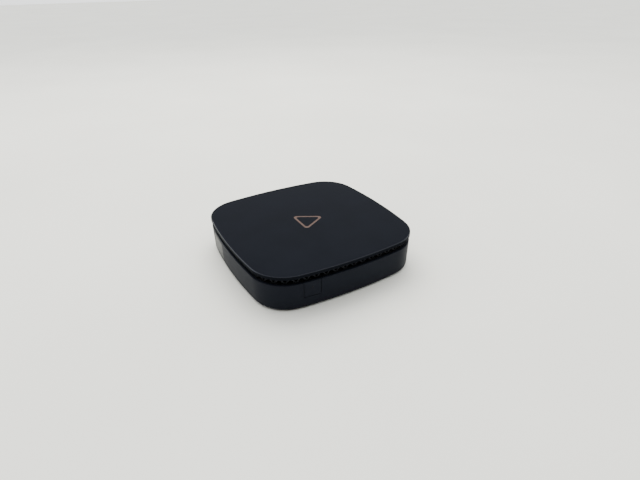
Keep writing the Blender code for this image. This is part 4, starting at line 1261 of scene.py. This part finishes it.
hub_cup = carve(hub_cup, turned_bar("cup", hub_radius - hub_wall, under, cup_top, black_abs, 48))
rotor_disc = carve(rotor_disc, turned_bar("cup", hub_radius - hub_wall, under, hub_top, black_abs, 48))
fitted("black_abs", blades, rotor_disc, hub_cup, for_nodes=["fan_rotor"], body="fan_rotor")

# --- Fin stack --------------------------------------------------------------------------------
# Thin folded aluminium fins stand on edge between the blower's mouth and the rear slots, so the
# warm air passes along them.
fin_finish, tree, shader, place = new_material("folded_aluminium", "b2b5b8", 0.35, 1.0)
rolled = grain(tree, place, 0.0006)
tint(tree, shader, rolled, "a2a5a8", "bfc2c4")
vary_roughness(tree, shader, rolled, 0.28, 0.42)
fin_middle = (fin_low + fin_high) / 2
fin_span = fin_high - fin_low
fin_thickness = 0.0003
fin_count = 22
fins = bar_row(
    "fin_stack_fins",
    [fin_middle],
    fin_count,
    (fin_span.x - fin_thickness) / (fin_count - 1),
    fin_thickness,
    fin_span.y,
    fin_span.z,
    fin_finish,
)
flanges = [
    finish_mesh(
        f"fin_stack_flange_{i + 1}",
        block((fin_low.x, fin_low.y, z), (fin_high.x, fin_high.y, z + fin_thickness)),
        fin_finish,
    )
    for i, z in enumerate((fin_low.z, fin_high.z - fin_thickness))
]
fitted("aluminium", fins, *flanges, for_nodes=["fin_stack"])

# --- Parts on the boards ----------------------------------------------------------------------
# Memory packages, a shielded radio, a storage controller and rows of gold edge contacts stand
# on the cards. Small ceramic parts are scattered over the clear parts of the main board.
chip_compound, tree, shader, place = new_material("epoxy_moulding_compound", "1d1d1f", 0.5)
filler = grain(tree, place, 0.0003)
tint(tree, shader, filler, "18181a", "242427")
emboss(tree, shader, filler, 0.00002)

ceramic_part, tree, shader, place = new_material("sintered_ceramic", "8a7358", 0.5)
tint(tree, shader, grain(tree, place, 0.0008), "6e5a44", "9c8567")


def packages(name, node, count, size, shift=(0, 0), pitch=0.0):
    """A row of chip packages standing on a card, centred on it unless shifted."""
    low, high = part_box(node)
    place = ((low.x + high.x) / 2 + shift[0], (low.y + high.y) / 2 + shift[1], high.z + size[2] / 2)
    row = bar_row(name, [place], count, pitch or size[0] * 1.3, *size, chip_compound)
    fitted("chip_resin", row)
    return row


packages("memory_packages", "memory_module", 4, (0.0090, 0.0110, 0.0010), (0, -0.003), 0.0145)
packages("storage_packages", "storage_module", 2, (0.0120, 0.0130, 0.0010), (-0.003, 0), 0.0160)
radio_low, radio_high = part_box("wireless_card")
radio_can = finish_mesh(
    "wireless_shield",
    block(
        (radio_low.x + 0.0025, radio_low.y + 0.0035, radio_high.z),
        (radio_high.x - 0.0025, radio_high.y - 0.0105, radio_high.z + 0.0016),
        soften=0.0003,
    ),
    nickel_shell,
)
fitted("port_shell", radio_can)
memory_low, memory_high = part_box("memory_module")
edge_contacts = bar_row(
    "memory_edge_contacts",
    [((memory_low.x + memory_high.x) / 2, memory_high.y - 0.0032, memory_high.z)],
    64,
    0.0010,
    0.0006,
    0.0012,
    0.00006,
)
fitted("port_shell", edge_contacts)

board_low, board_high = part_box("main_board")
scatter_sizes = {
    "Spacing": 0.0018, "Part Length": 0.0012, "Part Width": 0.0007, "Part Height": 0.0006, "Seed": 7
}
scatter_tree, sizes = new_tree("scattered_parts", scatter_sizes)
spread = add_node(
    scatter_tree,
    "GeometryNodeDistributePointsOnFaces",
    {
        "Mesh": sizes["Geometry"],
        "Distance Min": sizes["Spacing"],
        "Density Max": 260000.0,
        "Seed": sizes["Seed"],
    },
    distribute_method="POISSON",
)
part_size = add_node(
    scatter_tree,
    "ShaderNodeCombineXYZ",
    {"X": sizes["Part Length"], "Y": sizes["Part Width"], "Z": sizes["Part Height"]},
)
part = add_node(scatter_tree, "GeometryNodeMeshCube", {"Size": part_size.outputs[0]})
quarter_turns = add_node(
    scatter_tree,
    "FunctionNodeRandomValue",
    {"Min": 0, "Max": 1, "Seed": sizes["Seed"]},
    data_type="INT",
)
quarter = maths(scatter_tree, "MULTIPLY", quarter_turns.outputs[2], math.pi / 2)
part_turn = add_node(scatter_tree, "ShaderNodeCombineXYZ", {"Z": quarter})
scale_range = {"Min": 0.7, "Max": 1.3, "Seed": sizes["Seed"]}
part_scale = add_node(scatter_tree, "FunctionNodeRandomValue", scale_range, data_type="FLOAT")
parts = add_node(
    scatter_tree,
    "GeometryNodeInstanceOnPoints",
    {
        "Points": spread.outputs["Points"],
        "Instance": part.outputs["Mesh"],
        "Rotation": part_turn.outputs[0],
        "Scale": part_scale.outputs[1],
    },
)
end_tree(scatter_tree, parts.outputs[0], ceramic_part)
spreader_low, spreader_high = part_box("heat_spreader")
housing_clear = 0.0030
spreader_clear = 0.0010
board_clear = 0.0010
front_back_y = -0.0440
clear_fields = [
    (
        (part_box("fan_housing")[1].x + housing_clear, spreader_low.x - spreader_clear),
        (spreader_low.y, 0.0270),
    ),
    ((spreader_high.x + spreader_clear, board_high.x - 0.0015), (spreader_low.y, 0.0260)),
    ((-0.0120, -0.0030), (board_low.y + board_clear, front_back_y)),
    ((0.0040, board_high.x - 0.0020), (board_low.y + board_clear, front_back_y)),
]
field_z = board_high.z + scatter_sizes["Part Height"] / 2
field_points = []
for (left, right), (front, back) in clear_fields:
    corners = ((left, front), (right, front), (right, back), (left, back))
    field_points += [(x, y, field_z) for x, y in corners]
field_faces = [range(i, i + 4) for i in range(0, len(field_points), 4)]
scattered = grown(
    "ceramic_parts", scatter_tree, scatter_sizes, field_points, faces=[tuple(f) for f in field_faces]
)
fitted("chip_resin", scattered)

# --- Carried-over works: finishes -------------------------------------------------------------
# The boards, cards, blower and cooling parts keep their CAD shapes and get their real finishes.


def refinish(material, *nodes):
    """Gives CAD nodes a new material, which keeps their shape as it is."""
    for node in nodes:
        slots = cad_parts[node].material_slots
        for slot in slots:
            slot.material = material


# Glass-epoxy laminate under green solder mask: glossy, with the copper tracks just showing.
solder_mask, tree, shader, place = new_material("green_solder_mask", "0f3a24", 0.28, Coat_Weight=0.4)
tracks = add_node(
    tree, "ShaderNodeTexBrick", {"Vector": place, "Scale": 220.0, "Mortar Size": 0.03, "Bias": 0.0}
).outputs["Fac"]
tint(tree, shader, tracks, "0d3320", "1c5436", 0.2, 0.8)
emboss(tree, shader, tracks, 0.00003)

# Milled aluminium: bright, with cutter lines along X about a fifth of a millimetre apart.
milled_aluminium, tree, shader, place = new_material("milled_aluminium", "b9bcbf", 0.32, 1.0)
cutter_lines = add_node(
    tree, "ShaderNodeTexWave", {"Vector": place, "Scale": 250.0, "Distortion": 0.6}, bands_direction="Y"
).outputs["Fac"]
tint(tree, shader, cutter_lines, "a7aaad", "c4c6c9")
vary_roughness(tree, shader, cutter_lines, 0.26, 0.4)

# Drawn copper, a little darkened by handling.
drawn_copper, tree, shader, place = new_material("drawn_copper", "b8705a", 0.3, 1.0)
tarnish = grain(tree, place, 0.004)
tint(tree, shader, tarnish, "8f523d", "c27c64")
vary_roughness(tree, shader, tarnish, 0.24, 0.42)

# Sintered bronze: open-grained and dull with oil.
sintered_bronze, tree, shader, place = new_material("sintered_bronze", "8a6a40", 0.45, 1.0)
pores = grain(tree, place, 0.0002)
tint(tree, shader, pores, "6b5130", "967548")
emboss(tree, shader, pores, 0.00003)

# Filled silicone pad: soft, matte and blue-grey.
silicone_pad, tree, shader, place = new_material("filled_silicone", "8d949c", 0.8)
tint(tree, shader, grain(tree, place, 0.0005), "838a92", "979ea6")

refinish(black_abs, "top_frame", "fan_housing", "coin_cell_holder", "switch_plunger")
refinish(solder_mask, "main_board", "memory_module", "wireless_card", "storage_module", "key_board")
refinish(chip_compound, "processor", "memory_socket", "key_switch")
refinish(milled_aluminium, "heat_spreader", "fan_lid")
refinish(drawn_copper, "heat_pipe", "fan_stator", "antenna_1", "antenna_2")
refinish(sintered_bronze, "fan_bearing")
refinish(silicone_pad, "thermal_pad")
refinish(zinc_steel, "coin_cell", "fan_shaft")
